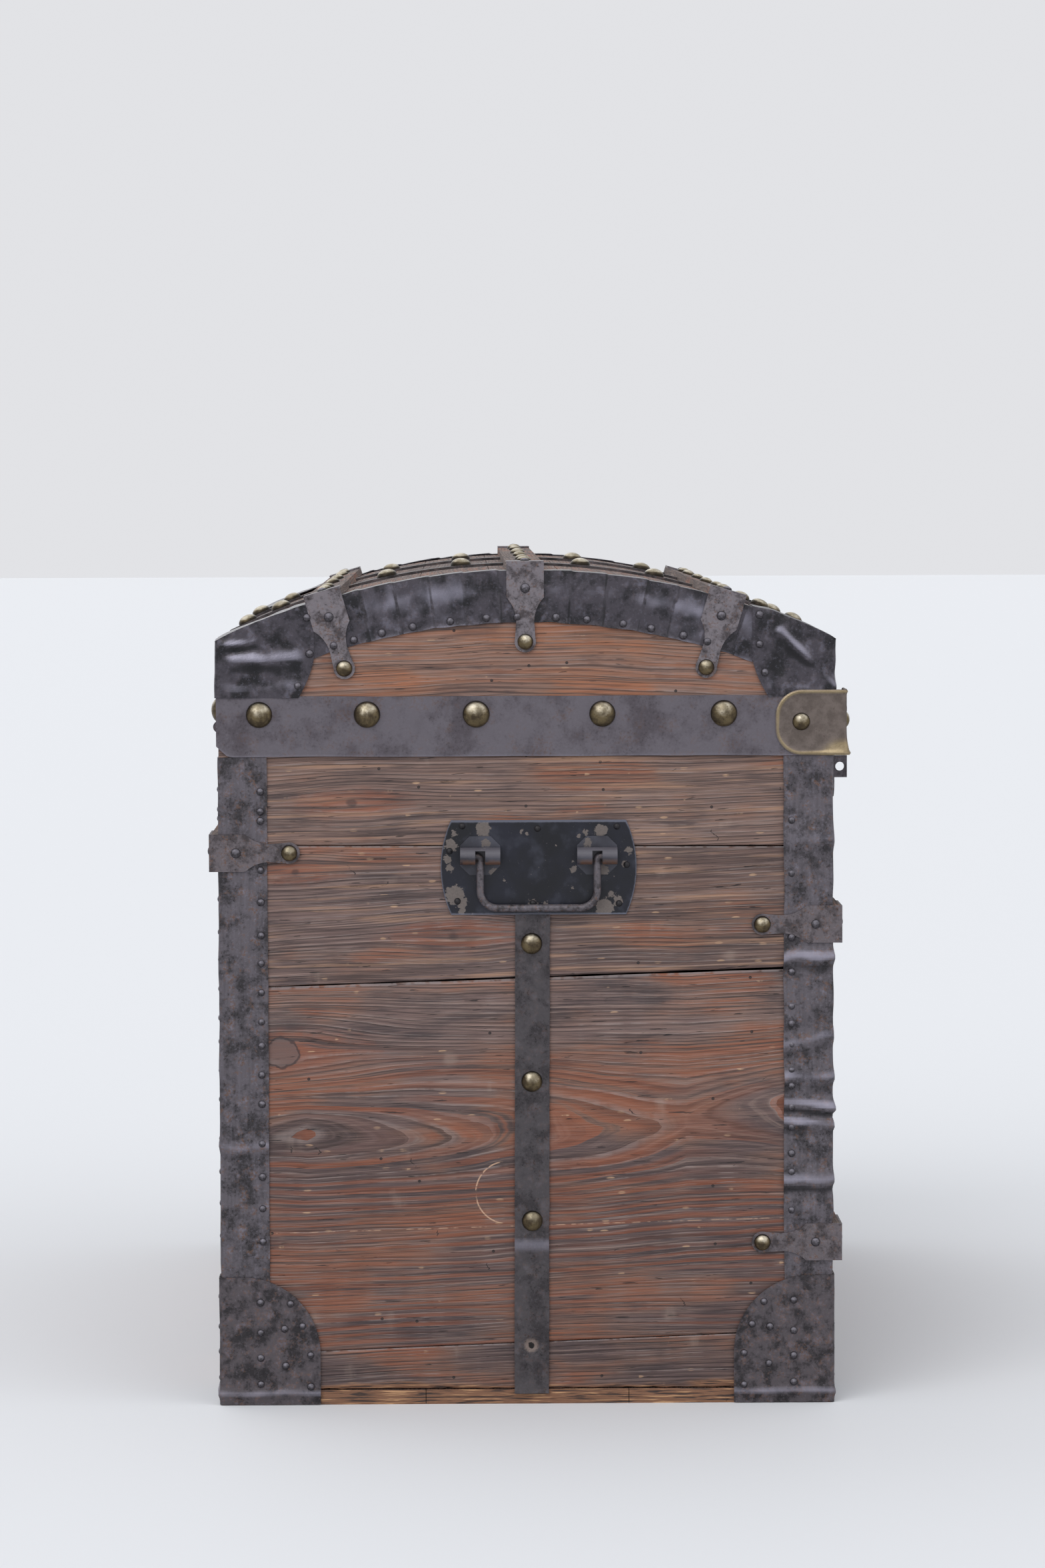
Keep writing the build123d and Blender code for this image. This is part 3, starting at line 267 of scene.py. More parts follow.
def pine(run, rise, ring, board, bands, ground, orange=(134, 74, 47), knots=(), joints=(),
         seed=0.0):
    """Old pine: run is the pattern along its grain, rise the one across it, and ring the way
    out from the tree's heart. bands is the share of broad orange rings in it."""
    finish = run.finish
    layer = board * 41.3 + seed

    def grain(along, across, shift, detail=2.0, rough=0.5, way=rise):
        """Spots drawn out along the grain, other ones on each board."""
        return finish.cloud(finish.vector(run * along, way * across, layer + shift),
                            detail=detail, rough=rough)

    heart, rim, flame = 0.0, 0.0, 0.0
    for along, across, radius, solid in knots:  # the rings bend round each knot
        reach, up = run - along, rise - across
        wobble = (finish.cloud(finish.vector(run * 0.11, rise * 0.11, seed)) - 0.5) * radius * 0.7
        near = (reach * reach * 0.14 + up * up) / (-5.5 * radius * radius)
        ring = ring - up * near.maths("EXPONENT", near) * (0.97 if solid else 0.6)
        away = (reach * reach * 0.7 + up * up) ** 0.5 + wobble
        if solid:
            heart = away.ramp(radius * 1.04, radius * 0.92) + heart
            rim = (away - radius).size().ramp(1.3, 0.3) + rim
        else:
            rim = away.ramp(radius * 0.55, radius * 0.15) * 0.8 + rim
        tail = (reach * reach * 0.06 + up * up) ** 0.5 + wobble * 1.4
        flame = tail.ramp(radius * 2.1, radius * 0.7) + flame

    sway = grain(0.0035, 0.013, 0) - 0.5
    shake = grain(0.022, 0.10, 2, 3.0) - 0.5
    ring = ring + sway * (bands * 12 + 12) + shake * 1.5
    pace = grain(0.0015, 0.028, 4, way=ring) * 7
    broad_count, fine_count = ring * 0.175 + pace * 0.4, ring * 0.365 + pace
    broad, fine = broad_count.part(), fine_count.part()
    broad_mood = grain(0.0035, 3.7, 6, way=broad_count.whole())
    fine_mood = grain(0.005, 3.1, 8, 3.0, way=fine_count.whole())
    summer = broad.ramp(0.30, 0.72) * broad_mood.ramp(0.36, 0.56) * bands
    groove = fine.ramp(0.45, 0.95) * fine_mood.ramp(0.36, 0.60) * (1 - bands * 0.5)
    ridge = fine.ramp(0.42, 0.08) * fine_mood.ramp(0.62, 0.40)

    streak = grain(0.0065, 0.62, 11, 4.0, 0.65, ring)
    fibre = grain(0.035, 1.7, 12)
    stain = grain(0.008, 0.03, 5, 4.0)
    scuff = grain(0.013, 0.06, 9, 4.0, 0.6)
    bloom = grain(0.05, 0.011, 13, 4.0)
    amber = stain.ramp(0.52, 0.64) * streak.ramp(0.40, 0.56)
    amber = amber.most(flame * streak.ramp(0.38, 0.54))
    body = finish.coats(ground,
                        (stain.ramp(0.44, 0.64) * 0.6, (138, 102, 82)),
                        (scuff.ramp(0.50, 0.68) * 0.75, (56, 48, 52)),
                        (streak.ramp(0.52, 0.72) * 0.60, (154, 132, 122)),
                        (streak.ramp(0.50, 0.34) * 0.75, (52, 38, 36)),
                        ((summer * 0.85).most(amber * 0.75), orange),
                        (groove * 0.85, (46, 33, 32)),
                        (ridge * 0.55 * bloom.ramp(0.34, 0.62), (148, 134, 130)),
                        (fibre.ramp(0.50, 0.68) * 0.25, (148, 124, 114)),
                        (fibre.ramp(0.50, 0.34) * 0.35, (46, 37, 36)))
    if knots:
        body = finish.coats(body, (heart * 0.7, (96, 82, 80)), (rim * 0.75, (46, 38, 40)))

    chance = finish.node("ShaderNodeSeparateColor", {},
                         {0: finish.cells(run * 0.036, rise * 0.036, "Color")})
    worm = finish.cells(run * 0.036, rise * 0.036)
    nick = finish.cells(run * 0.030 + shake, rise * 0.006 + shake * 0.2)
    tick = grain(0.045, 0.55, 15, 3.0)
    dark = (worm.ramp(0.044, 0.030) * chance.ramp(0.86, 0.87)).most(
        nick.ramp(0.016, 0.009) * bloom.ramp(0.50, 0.54)).most(tick.ramp(0.68, 0.73))
    for joint in joints:
        level = rise - joint
        dark = dark.most(level.size().ramp(1.5, 0.6))
        pale_share = level.ramp(-7.0, -1.5) * level.ramp(0.4, 0.0) * bloom.ramp(0.34, 0.56)
        body = finish.coats(body, (pale_share * 0.6, (140, 130, 128)))
    fleck = finish.cells(run * 0.020 + shake * 0.1, rise * 0.060).ramp(0.075, 0.035)
    fleck = fleck * bloom.ramp(0.50, 0.54) * fibre.ramp(0.42, 0.56)
    splash = finish.cells(run * 0.016 + shake * 0.3, rise * 0.016 + shake * 0.3)
    splash = splash.ramp(0.13, 0.03) * bloom.ramp(0.50, 0.66)
    body = finish.coats(body, (dark * 0.88, (32, 27, 28)), (fleck * 0.75, (184, 150, 120)),
                        (splash * 0.25, (166, 146, 134)))
    relief = ridge * 0.5 - groove * 0.5 + streak * 0.8 + fibre * 0.3 - dark * 1.6
    gloss = 0.60 + fibre * 0.2 + streak * 0.12
    return body, gloss, relief


def heart_rings(along, rise, middle, flat, spread_out):
    """Rings cut lengthwise: ovals and long points on one line, closer together away from it."""
    depth = along.size() * spread_out + flat
    up = rise - middle
    return (depth * depth + up * up) ** 0.5


def splinters(finish, share, skin, run, rise):
    """Raw splintered wood: pale slivers over orange, with dark gaps, where share is 1."""
    raw = finish.cloud(finish.vector(run * 0.035, rise * 0.42, 3.0), 1.0, 3.0)
    skin = finish.coats(skin, (share * raw.ramp(0.30, 0.46), (124, 88, 66)),
                        (share * raw.ramp(0.57, 0.66), (186, 144, 106)),
                        (share * raw.ramp(0.46, 0.38) * 0.9, (42, 32, 30)))
    return skin, raw


grain_depth = 0.6

far_wood = Finish("pine_far_end")
far_board = sum(far_wood.z.past(joint) for joint in end_joints)
far_share = far_wood.z.ramp(260, 200)
far_pine = far_wood.done(*pine(
    far_wood.y, far_wood.z, heart_rings(far_wood.y + 90, far_wood.z, 150, 16, 0.08), far_board,
    far_share, far_wood.mix(far_share, tone(110, 89, 84), tone(88, 71, 69)),
    knots=((-120, 372, 9, 0), (60, 262, 11, 1)), seed=90.0), grain_depth)

side_wood = Finish("pine_sides")
side_board = sum(side_wood.z.past(joint) for joint in side_joints) + side_wood.y.ramp(-1, 1) * 5
side_rings = heart_rings(side_wood.x + 160 - side_board * 90, side_wood.z,
                         100 + side_board * 150, 14, 0.05)
side_share = side_wood.cloud(side_wood.place, 0.003).ramp(0.42, 0.56)
side_pine = side_wood.done(*pine(
    side_wood.x, side_wood.z, side_rings, side_board, side_share,
    side_wood.mix(side_share, tone(110, 90, 86), tone(96, 78, 75)),
    knots=((-205, 290, 11, 1), (90, 120, 8, 0), (260, 420, 9, 0)), joints=side_joints,
    seed=140.0), grain_depth)

lid_wood = Finish("pine_lid_ends")
lid_pine = lid_wood.done(*pine(
    lid_wood.y, lid_wood.z, heart_rings(lid_wood.y - 30, lid_wood.z, 512, 12, 0.06),
    lid_wood.x.ramp(-1, 1) * 3, lid_wood.z.ramp(470, 520) * 0.5,
    lid_wood.mix(lid_wood.z.ramp(530, 590), tone(128, 98, 86), tone(136, 102, 86)),
    (158, 96, 62), seed=33.0), grain_depth)

stave_wood = Finish("pine_staves")
round_way = stave_wood.y.maths("ARCTAN2", stave_wood.y, stave_wood.z - dome_centre) * dome_radius
stave_number = ((round_way + stave_count / 2 * stave_pitch) / stave_pitch).whole()
stave_pine = stave_wood.done(*pine(
    stave_wood.x, round_way, round_way + stave_number * 13, stave_number,
    stave_wood.cloud(stave_wood.place, 0.003).ramp(0.45, 0.60) * 0.7,
    stave_wood.mix(stave_wood.cloud(stave_wood.place, 0.004).ramp(0.4, 0.6), tone(90, 76, 73),
                   tone(104, 87, 82)), (130, 84, 64), seed=11.0), grain_depth)

base_wood = Finish("pine_base")
base_inner = base_wood.x.size().ramp(399.0, 398.6)  # 0 on the boards' sawn and splintered ends
base_run = base_wood.x * base_inner + base_wood.y * (1 - base_inner)
base_rise = base_wood.y * base_inner + base_wood.z * 1.6
base_skin, base_gloss, base_relief = pine(
    base_run, base_rise, base_rise, (base_wood.y / base_board_width + 0.5).whole() * base_inner,
    base_wood.z * 0.0, base_wood.mix(base_wood.cloud(base_wood.place, 0.01), tone(92, 76, 70),
                                     tone(116, 96, 88)), seed=57.0)
base_skin, base_raw = splinters(base_wood, 1 - base_inner, base_skin, base_run, base_rise)
base_pine = base_wood.done(base_skin, base_gloss, base_relief + base_raw * (1 - base_inner) * 3,
                           grain_depth)


def dress(finish_material, *names):
    """Gives CAD pieces their finish."""
    for name in names:
        data = nodes[name].data
        data.materials.clear()
        data.materials.append(finish_material)


dress(side_pine, "front_boards", "back_boards", "lid_front_board", "lid_back_board")
dress(lid_pine, "near_lid_end_board", "far_lid_end_board")
dress(stave_pine, "lid_staves", "front_rim_rail")
dress(base_pine, "base_boards")
dress(far_pine, "far_end_boards")


# The near end wall, the one in the photograph: four boards under the rim, not quite level at
# their joints, with rounded, shrunken edges that leave dark gaps. Nailed to the side walls.
near_joints = ((46.5, -0.0377, 0.6), (322.5, -0.0324, 1.3), (421.5, 0.004, 0.7))
board_top, board_foot = 504.0, 11.0
near_knots = ((183.5, 272, 11, 1), (130, 458, 7, 0), (55, 356, 8, 0), (173, 408, 6, 0))
scratch_middle, scratch_radius = (14.8, 160.3), 23.6
sawn_height, sawn_slope = 135.1, 0.0265

near_wood = Finish("pine_near_end")
near_y, near_z = near_wood.y, near_wood.z
near_level = [near_z - near_y * slope - height for height, slope, gap in near_joints]
near_board = sum(level.ramp(-0.1, 0.1) for level in near_level)
near_share = (near_level[0].ramp(-1, 1) * near_z.ramp(280, 236)
              * (near_z.ramp(130, 215) * 0.25 + 0.75))
near_rise = near_z + near_y * 0.03
near_rings = heart_rings((165 - near_y).least(near_y + 405), near_rise, 209, 20, 0.075)
second_board_right = (near_level[1].ramp(-0.1, 0.1) * near_y.ramp(20, -60)
                      * near_level[2].ramp(0.1, -0.1))
near_ground = near_wood.coats(tone(109, 88, 84), (near_z.ramp(262, 180), (86, 69, 68)),
                              (near_level[2].ramp(-1, 1), (120, 96, 88)),
                              (second_board_right, (98, 76, 70)))
near_skin, near_gloss, near_relief = pine(near_y, near_rise, near_rings, near_board, near_share,
                                          near_ground, knots=near_knots, seed=21.0)
warm = near_wood.cloud(near_wood.vector(near_y * 0.006, near_rise * 0.17, 3.0), detail=4.0,
                       rough=0.65)
upper_boards = near_level[1].ramp(-1, 1)  # paler and browner between their dark streaks
near_skin = near_wood.coats(near_skin,
                            (warm.ramp(0.52, 0.70) * upper_boards * 0.7, (164, 128, 104)),
                            (warm.ramp(0.48, 0.32) * upper_boards * 0.5, (64, 50, 48)))
broken = near_wood.cloud(near_wood.place, 0.14, 3.0)
for level, (height, slope, gap) in zip(near_level, near_joints):  # rubbed edges under the gaps
    pale_share = level.ramp(-gap * 2.4, -gap) * level.ramp(0.3, -0.3) * broken.ramp(0.36, 0.54)
    near_skin = near_wood.coats(near_skin, (pale_share * 0.7, (138, 128, 128)))
reach, up = near_y - scratch_middle[0], near_z - scratch_middle[1]
scratch = ((reach * reach + up * up) ** 0.5 - scratch_radius).size().ramp(0.7, 0.3)
scratch = scratch * near_y.ramp(17, 21) * near_z.ramp(136, 139) * near_z.ramp(185, 182)
sawn = (near_z + near_y * sawn_slope - sawn_height).size().ramp(0.5, 0.2)
pale = (scratch * broken.ramp(0.36, 0.46)).most(sawn * broken.ramp(0.44, 0.60) * 0.7)
near_skin = near_wood.coats(near_skin, (pale * 0.8, (196, 160, 134)))
ragged = near_wood.cloud(near_wood.vector(near_y * 0.02, near_z * 0.1, 5.0), 1.0, 3.0)
foot = (near_z + (ragged - 0.5) * 14).ramp(17, 13)
near_skin, raw = splinters(near_wood, foot, near_skin, near_y, near_z * 1.6)
near_pine = near_wood.done(near_skin, near_gloss, near_relief + foot * raw * 3, grain_depth)


def grid_of(rows, columns, place):
    """A patch in rows and columns: its points, and the mark that place gives after x, y and z."""
    made = np.array([[place(row, column) for column in columns] for row in rows], float)
    return made[..., :3], made[..., 3]


def spread(start, end, step, fine=()):
    """Places from start to end about step apart, with fine ones near both ends."""
    count = max(2, int(round((end - start) / step)) + 1)
    middle = np.linspace(start, end, count)
    edges = [start + f for f in fine] + [end - f for f in fine]
    return np.array(sorted(set(np.round(np.concatenate([middle, edges]), 4))))


def sheet_piece(name, patches, thickness, finish, body, replaced=(), core=(0, 0, 300),
                smooth=0.7):
    """A piece made from the outer faces of its patches, each thickened towards the core."""
    points, faces, wear_and_painted_light = [], [], []
    for outer, proud in patches:
        rows, columns = outer.shape[:2]
        along = np.gradient(outer, axis=1)
        up = np.gradient(outer, axis=0)
        normal = np.cross(along, up)
        normal /= np.maximum(np.linalg.norm(normal, axis=2, keepdims=True), 1e-9)
        towards = outer.reshape(-1, 3).mean(0) - np.array(core, float)
        flip = (normal.reshape(-1, 3).mean(0) @ towards) < 0
        if flip:
            normal = -normal
        inner = outer - normal * thickness
        start = len(points)
        points.extend(outer.reshape(-1, 3))
        points.extend(inner.reshape(-1, 3))
        wear_and_painted_light.extend(proud.reshape(-1))
        wear_and_painted_light.extend(proud.reshape(-1) * 0)
        back = rows * columns
        index = start + np.arange(rows * columns).reshape(rows, columns)
        a, b, c, d = index[:-1, :-1], index[:-1, 1:], index[1:, 1:], index[1:, :-1]
        front = np.stack([a, b, c, d], -1).reshape(-1, 4)
        if flip:
            front = front[:, ::-1]
        faces.extend(front.tolist())
        faces.extend((front[:, ::-1] + back).tolist())
        loop = np.concatenate([index[0, :-1], index[:-1, -1], index[-1, :0:-1], index[:0:-1, 0]])
        after = np.roll(loop, -1)
        rim = np.stack([after, loop, loop + back, after + back], -1)
        if flip:
            rim = rim[:, ::-1]
        faces.extend(rim.tolist())
    mesh = bpy.data.meshes.new(name)
    mesh.from_pydata((np.array(points) * metre).tolist(), [], faces)
    attribute = mesh.attributes.new("wear_and_painted_light", "FLOAT", "POINT")
    attribute.data.foreach_set("value", np.array(wear_and_painted_light, np.float32))
    mesh.update()
    mesh.polygons.foreach_set("use_smooth", [True] * len(mesh.polygons))
    mesh.set_sharp_from_angle(angle=smooth)
    mesh.materials.append(finish)
    piece = bpy.data.objects.new(name, mesh)
    bpy.context.scene.collection.objects.link(piece)
    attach(piece, body)
    if replaced:
        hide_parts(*replaced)
    return piece


def waver(x, y, z, size, seed):
    """Soft random number from -1 to 1 that changes over about that size."""
    return noise.noise(Vector((x / size + seed, y / size - seed, z / size + 2 * seed)))


def joint_height(y, joint, side):
    """Height of a board's edge beside a joint: side is 1 above it and -1 below it."""
    height, slope, gap = joint
    gap *= 0.85 - 0.35 * y / body_side
    open_by = gap / 2 + 0.30 * waver(y, 0, height, 26, 3.3) * gap
    return height + slope * y + side * open_by


def end_board_patches(hand):
    """The boards of an end wall: hand is -1 at the near end and 1 at the far end."""
    patches = []
    for index in range(4):
        low = near_joints[index - 1] if index else None
        high = near_joints[index] if index < 3 else None
        shares = spread(0, 1, 0.025 if index in (1, 2) else 0.07, (0.004, 0.012, 0.025))

        def place(row, y):
            chewed = board_foot + 0.8 + 1.1 * waver(y, 0, 0, 9, 5)
            foot = joint_height(y, low, 1) if low else chewed
            head = joint_height(y, high, -1) if high else board_top
            z = foot + (head - foot) * row
            inset = min(z - foot, head - z)
            drop = 1.1 * max(0.0, 1 - inset / 1.5) ** 2
            dish = 0.35 * waver(y, z, index, 70, 8.1) - 0.35
            return hand * (body_face - drop + dish), y, z, 0

        patches.append(grid_of(shares, spread(-body_side, body_side, 5.0), place))
    return patches


sheet_piece("near_end_wall", end_board_patches(-1), wall - 1.6, near_pine, "trunk",
            ["near_end_boards"])


# Sheet-iron on the corners: one folded iron up each corner of the body and a quarter-round cap
# over its foot, both of thin black iron, dented, pale with wear on their crests, with painted
# highlight where a dent leans upwards and painted shade where it hangs. Each is held by a
# column of small round-headed pins.
iron_sheet = 0.8
iron_leg = 36.5
iron_foot, iron_top = 0.5, 488.6
fold_round = 2.2


def iron(name, shades=((46, 43, 46), (90, 85, 91), (124, 120, 132)), gloss=0.44, rust=0.4,
         scale=1.0, uneven=1.0, streaks=0.0, pits=0.8, hole=None):
    """Dark sheet iron: mottled, pitted, speckled with rust, and coloured by the mark kept with its
    points: pale for wear and painted highlight, dark for painted shade.
    """
    finish = Finish(name)
    place = finish.place
    cloudy = finish.cloud(place, 0.05 * scale, 5.0, 0.62)
    patch = finish.cloud(place, 0.11 * scale, 4.0, 0.6)
    pitted = finish.cloud(place, 0.50, 4.0, 0.7)
    wear_and_painted_light = finish.kept("wear_and_painted_light")
    dark, middle, light = shades
    body = finish.coats(tone(*dark), (cloudy.ramp(0.36, 0.56), middle),
                        (patch.ramp(0.52, 0.72) * 0.55 * uneven, light),
                        (patch.ramp(0.46, 0.30) * 0.70 * uneven, dark))
    if streaks:
        run = finish.cloud(finish.vector(finish.x * 0.35, finish.y * 0.35, finish.z * 0.02),
                           1.0, 3.0)
        body = finish.coats(body, (run.ramp(0.52, 0.34) * streaks, dark),
                            (run.ramp(0.54, 0.70) * streaks * 0.6, light))
    body = finish.coats(body,
                        (pitted.ramp(0.53, 0.66) * cloudy.ramp(0.62, 0.44) * pits, (30, 27, 30)),
                        (pitted.ramp(0.45, 0.32) * 0.30, light),
                        (patch.ramp(0.50, 0.62) * pitted.ramp(0.46, 0.58) * rust, (100, 76, 64)),
                        # the kept mark: pale for wear and painted highlight, dark for painted
                        # shade
                        (wear_and_painted_light.ramp(0.10, 1.0) * 0.75, (150, 147, 162)),
                        (wear_and_painted_light.ramp(-0.12, -0.9) * 0.85, (22, 21, 24)))
    roughness = gloss + pitted * 0.20 - patch * 0.10 - wear_and_painted_light.ramp(0.3, 1.0) * 0.10
    relief = cloudy * 1.0 + pitted * 0.45
    if hole:
        y, z, radius = hole
        reach, up = finish.y - y, finish.z - z
        away = (reach * reach + up * up) ** 0.5 + (pitted - 0.5) * 3
        body = finish.coats(body, (away.ramp(radius * 3.0, radius * 1.6) * 0.7, (132, 116, 108)),
                            (away.ramp(radius * 1.25, radius * 0.9), (20, 16, 16)))
        relief = relief - away.ramp(radius * 4.5, radius) * 4
    return finish.done(body, roughness, relief, 0.4, 0.35, {"Specular IOR Level": 0.4})


corner_iron_skin = iron("corner_iron_skin", rust=0.75, streaks=0.2, pits=0.95)
cap_iron_skin = iron("cap_iron_skin", ((38, 35, 38), (80, 74, 78), (112, 105, 114)), 0.46, 0.6,
                     1.3)


def round_corner(face_x, side_y, across, height):
    """A point of a sheet folded round an upright corner, and the way that it faces there.

    across runs from the end leg, below 0, over the fold at 0 to the side leg, above 0."""
    bend = fold_round * math.pi / 4
    if across < -bend:
        return ((face_x, side_y - fold_round + across + bend, height), (1, 0))
    if across > bend:
        return ((face_x - fold_round - across + bend, side_y, height), (0, 1))
    angle = (across + bend) / fold_round
    way = (math.cos(angle), math.sin(angle))
    return ((face_x - fold_round + fold_round * way[0], side_y - fold_round + fold_round * way[1],
             height), way)


def painted_lean_light_and_wear(marks, step, share=0.75):
    """Painted light and wear on a dented sheet: painted highlight where it leans upwards, painted
    shade where it hangs, and paler on its crests.
    """
    lean = -np.gradient(marks, axis=0) / step
    wide = (np.roll(marks, 3, 0) + np.roll(marks, -3, 0)) / 2
    crest = marks - wide
    for side in (slice(None, 3), slice(-3, None)):
        crest[side] = 0
        lean[side] *= 0.4
    return np.tanh(lean * share * 2.4 + crest * 0.4)


def corner_patch(face_x, side_y, hand_x, hand_y, rows, width_at, columns, proud_at, shade=0.8):
    """One folded sheet: rows are heights, width_at gives both legs there, proud_at the dents."""
    def place(height, share):
        across = share * width_at(height)[0 if share < 0 else 1]
        (x, y, z), way = round_corner(face_x, side_y, across, height)
        out = proud_at(across, height)
        lift = max(out, -0.25)
        return hand_x * (x + way[0] * lift), hand_y * (y + way[1] * lift), z, out

    points, proud = grid_of(rows, columns, place)
    # its mark: painted highlight and shade from the lean of the dents, and wear on their crests
    return points, painted_lean_light_and_wear(proud, np.gradient(np.array(rows))[:, None], shade)


def dented(folds, seed, rumple=0.35, clamps=()):
    """How far a sheet stands out: sharp folds across it, none of them under a slat's clamp, and
    soft unevenness everywhere. A fold has a height, a depth, a half width and a slant."""
    def proud_at(across, height):
        free = min([1.0] + [max(0.0, abs(height - clamp) - 16) / 8 for clamp in clamps])
        broad, narrow = (waver(across, height, 0, size, seed) for size in (34, 11))
        total = rumple * (broad + 0.5 * narrow)
        for place, depth, width, slant in folds:
            bow = 4.5 * waver(across, place, 0, 21, seed + place)
            up = height - place - slant * across - bow
            fade = 0.75 + 0.65 * waver(across, place, 0, 17, seed - place)
            side = width * 2.6 if up > 0 else width
            total += depth * fade * free * math.exp(-(up / side) ** 2)
        return total
    return proud_at


near_right_folds = ((337, 2.2, 4.0, 0.10), (303, 1.0, 7.0, 0.3), (274, 2.4, 3.4, 0.20),
                    (248, 2.4, 3.0, 0.05), (222, 3.2, 2.4, -0.12), (216, -1.6, 1.8, -0.10),
                    (209, 2.2, 2.2, -0.05), (167, 2.8, 3.2, 0.05), (161, -1.0, 2.0, 0.1),
                    (425, 1.4, 6.0, 0.1), (395, 0.9, 8.0, -0.2), (142, 1.0, 5.0, 0.1))
near_left_folds = ((194, 1.8, 2.6, 0.04), (330, 0.5, 9.0, 0.1), (256, 0.5, 8.0, -0.2),
                   (110, 0.5, 7.0, 0.1))
far_folds = ((300, 0.9, 5.0, 0.1), (214, 1.2, 3.4, -0.1), (128, 0.8, 5.0, 0.2),
             (402, 0.6, 7.0, 0.0))
front_slat_heights, back_slat_heights = (362.0, 122.0), (417.0,)
corner_columns = np.concatenate([np.linspace(-1, -0.12, 13), np.linspace(-0.08, 0.08, 7),
                                 np.linspace(0.12, 1, 13)])
iron_rows = spread(iron_foot, iron_top, 2.6)
corner_irons = (("near_front_corner_iron", -1, -1, near_right_folds, 1.3),
                ("near_back_corner_iron", -1, 1, near_left_folds, 6.1),
                ("far_front_corner_iron", 1, -1, far_folds, 9.7),
                ("far_back_corner_iron", 1, 1, near_left_folds[1:], 4.9))
for name, hand_x, hand_y, folds, seed in corner_irons:
    bent = dented(folds, seed, clamps=front_slat_heights if hand_y < 0 else back_slat_heights)
    patch = corner_patch(body_face + iron_sheet, body_side + iron_sheet, hand_x, hand_y, iron_rows,
                         lambda height: (iron_leg + 0.9 * waver(0, 0, height, 30, seed),
                                         iron_leg + 0.9 * waver(5, 0, height, 30, seed)),
                         corner_columns, bent)
    sheet_piece(name, [patch], iron_sheet, corner_iron_skin, "trunk",
                [name.split("_")[0] + "_corner_irons"])

cap_width, cap_height, cap_round = 75.0, 97.0, 58.0


def rounded_legs(width, corner, over):
    """Both legs of a sheet with round corners, at a height that is over mm past their start."""
    reach = width
    if over > 0:
        reach = width - corner + math.sqrt(max(corner ** 2 - over ** 2, 0))
    return reach, reach


def cap_width_at(height):
    """Both legs of a bottom cap at a height: straight, then a quarter round."""
    return rounded_legs(cap_width, cap_round, height - (cap_height - cap_round))


cap_rows = np.array(sorted(set(np.round(np.concatenate([
    np.linspace(iron_foot, cap_height - cap_round, 18),
    cap_height - cap_round + cap_round * np.sin(np.linspace(0, 90, 30) * math.pi / 180)]), 3))))
cap_columns = np.concatenate([np.linspace(-1, -0.06, 22), np.linspace(-0.04, 0.04, 7),
                              np.linspace(0.06, 1, 22)])


def cap_dents(seed):
    """The foot of a cap is rolled and battered, and its edge stands a little proud."""
    soft = dented((), seed, 0.45)

    def proud_at(across, height):
        ripple = 1 + 0.5 * waver(across, 0, 0, 22, seed)
        middle = 8.5 + 3 * waver(across, 0, 0, 40, seed)
        roll = 1.5 * ripple * math.exp(-((height - middle) / 3.2) ** 2)
        return 0.5 + soft(across, height) + roll
    return proud_at


for name, hand_x, hand_y, seed in (("near_front_base_cap", -1, -1, 2.2),
                                   ("near_back_base_cap", -1, 1, 7.4),
                                   ("far_front_base_cap", 1, -1, 5.5),
                                   ("far_back_base_cap", 1, 1, 8.8)):
    # the caps' rolled feet and dents get painted highlight, painted shade and wear, fainter than
    # on the irons
    patch = corner_patch(body_face + 2 * iron_sheet, body_side + 2 * iron_sheet, hand_x, hand_y,
                         cap_rows, cap_width_at, cap_columns, cap_dents(seed), 0.4)
    sheet_piece(name, [patch], iron_sheet, cap_iron_skin, "trunk",
                [name.split("_")[0] + "_base_caps"])
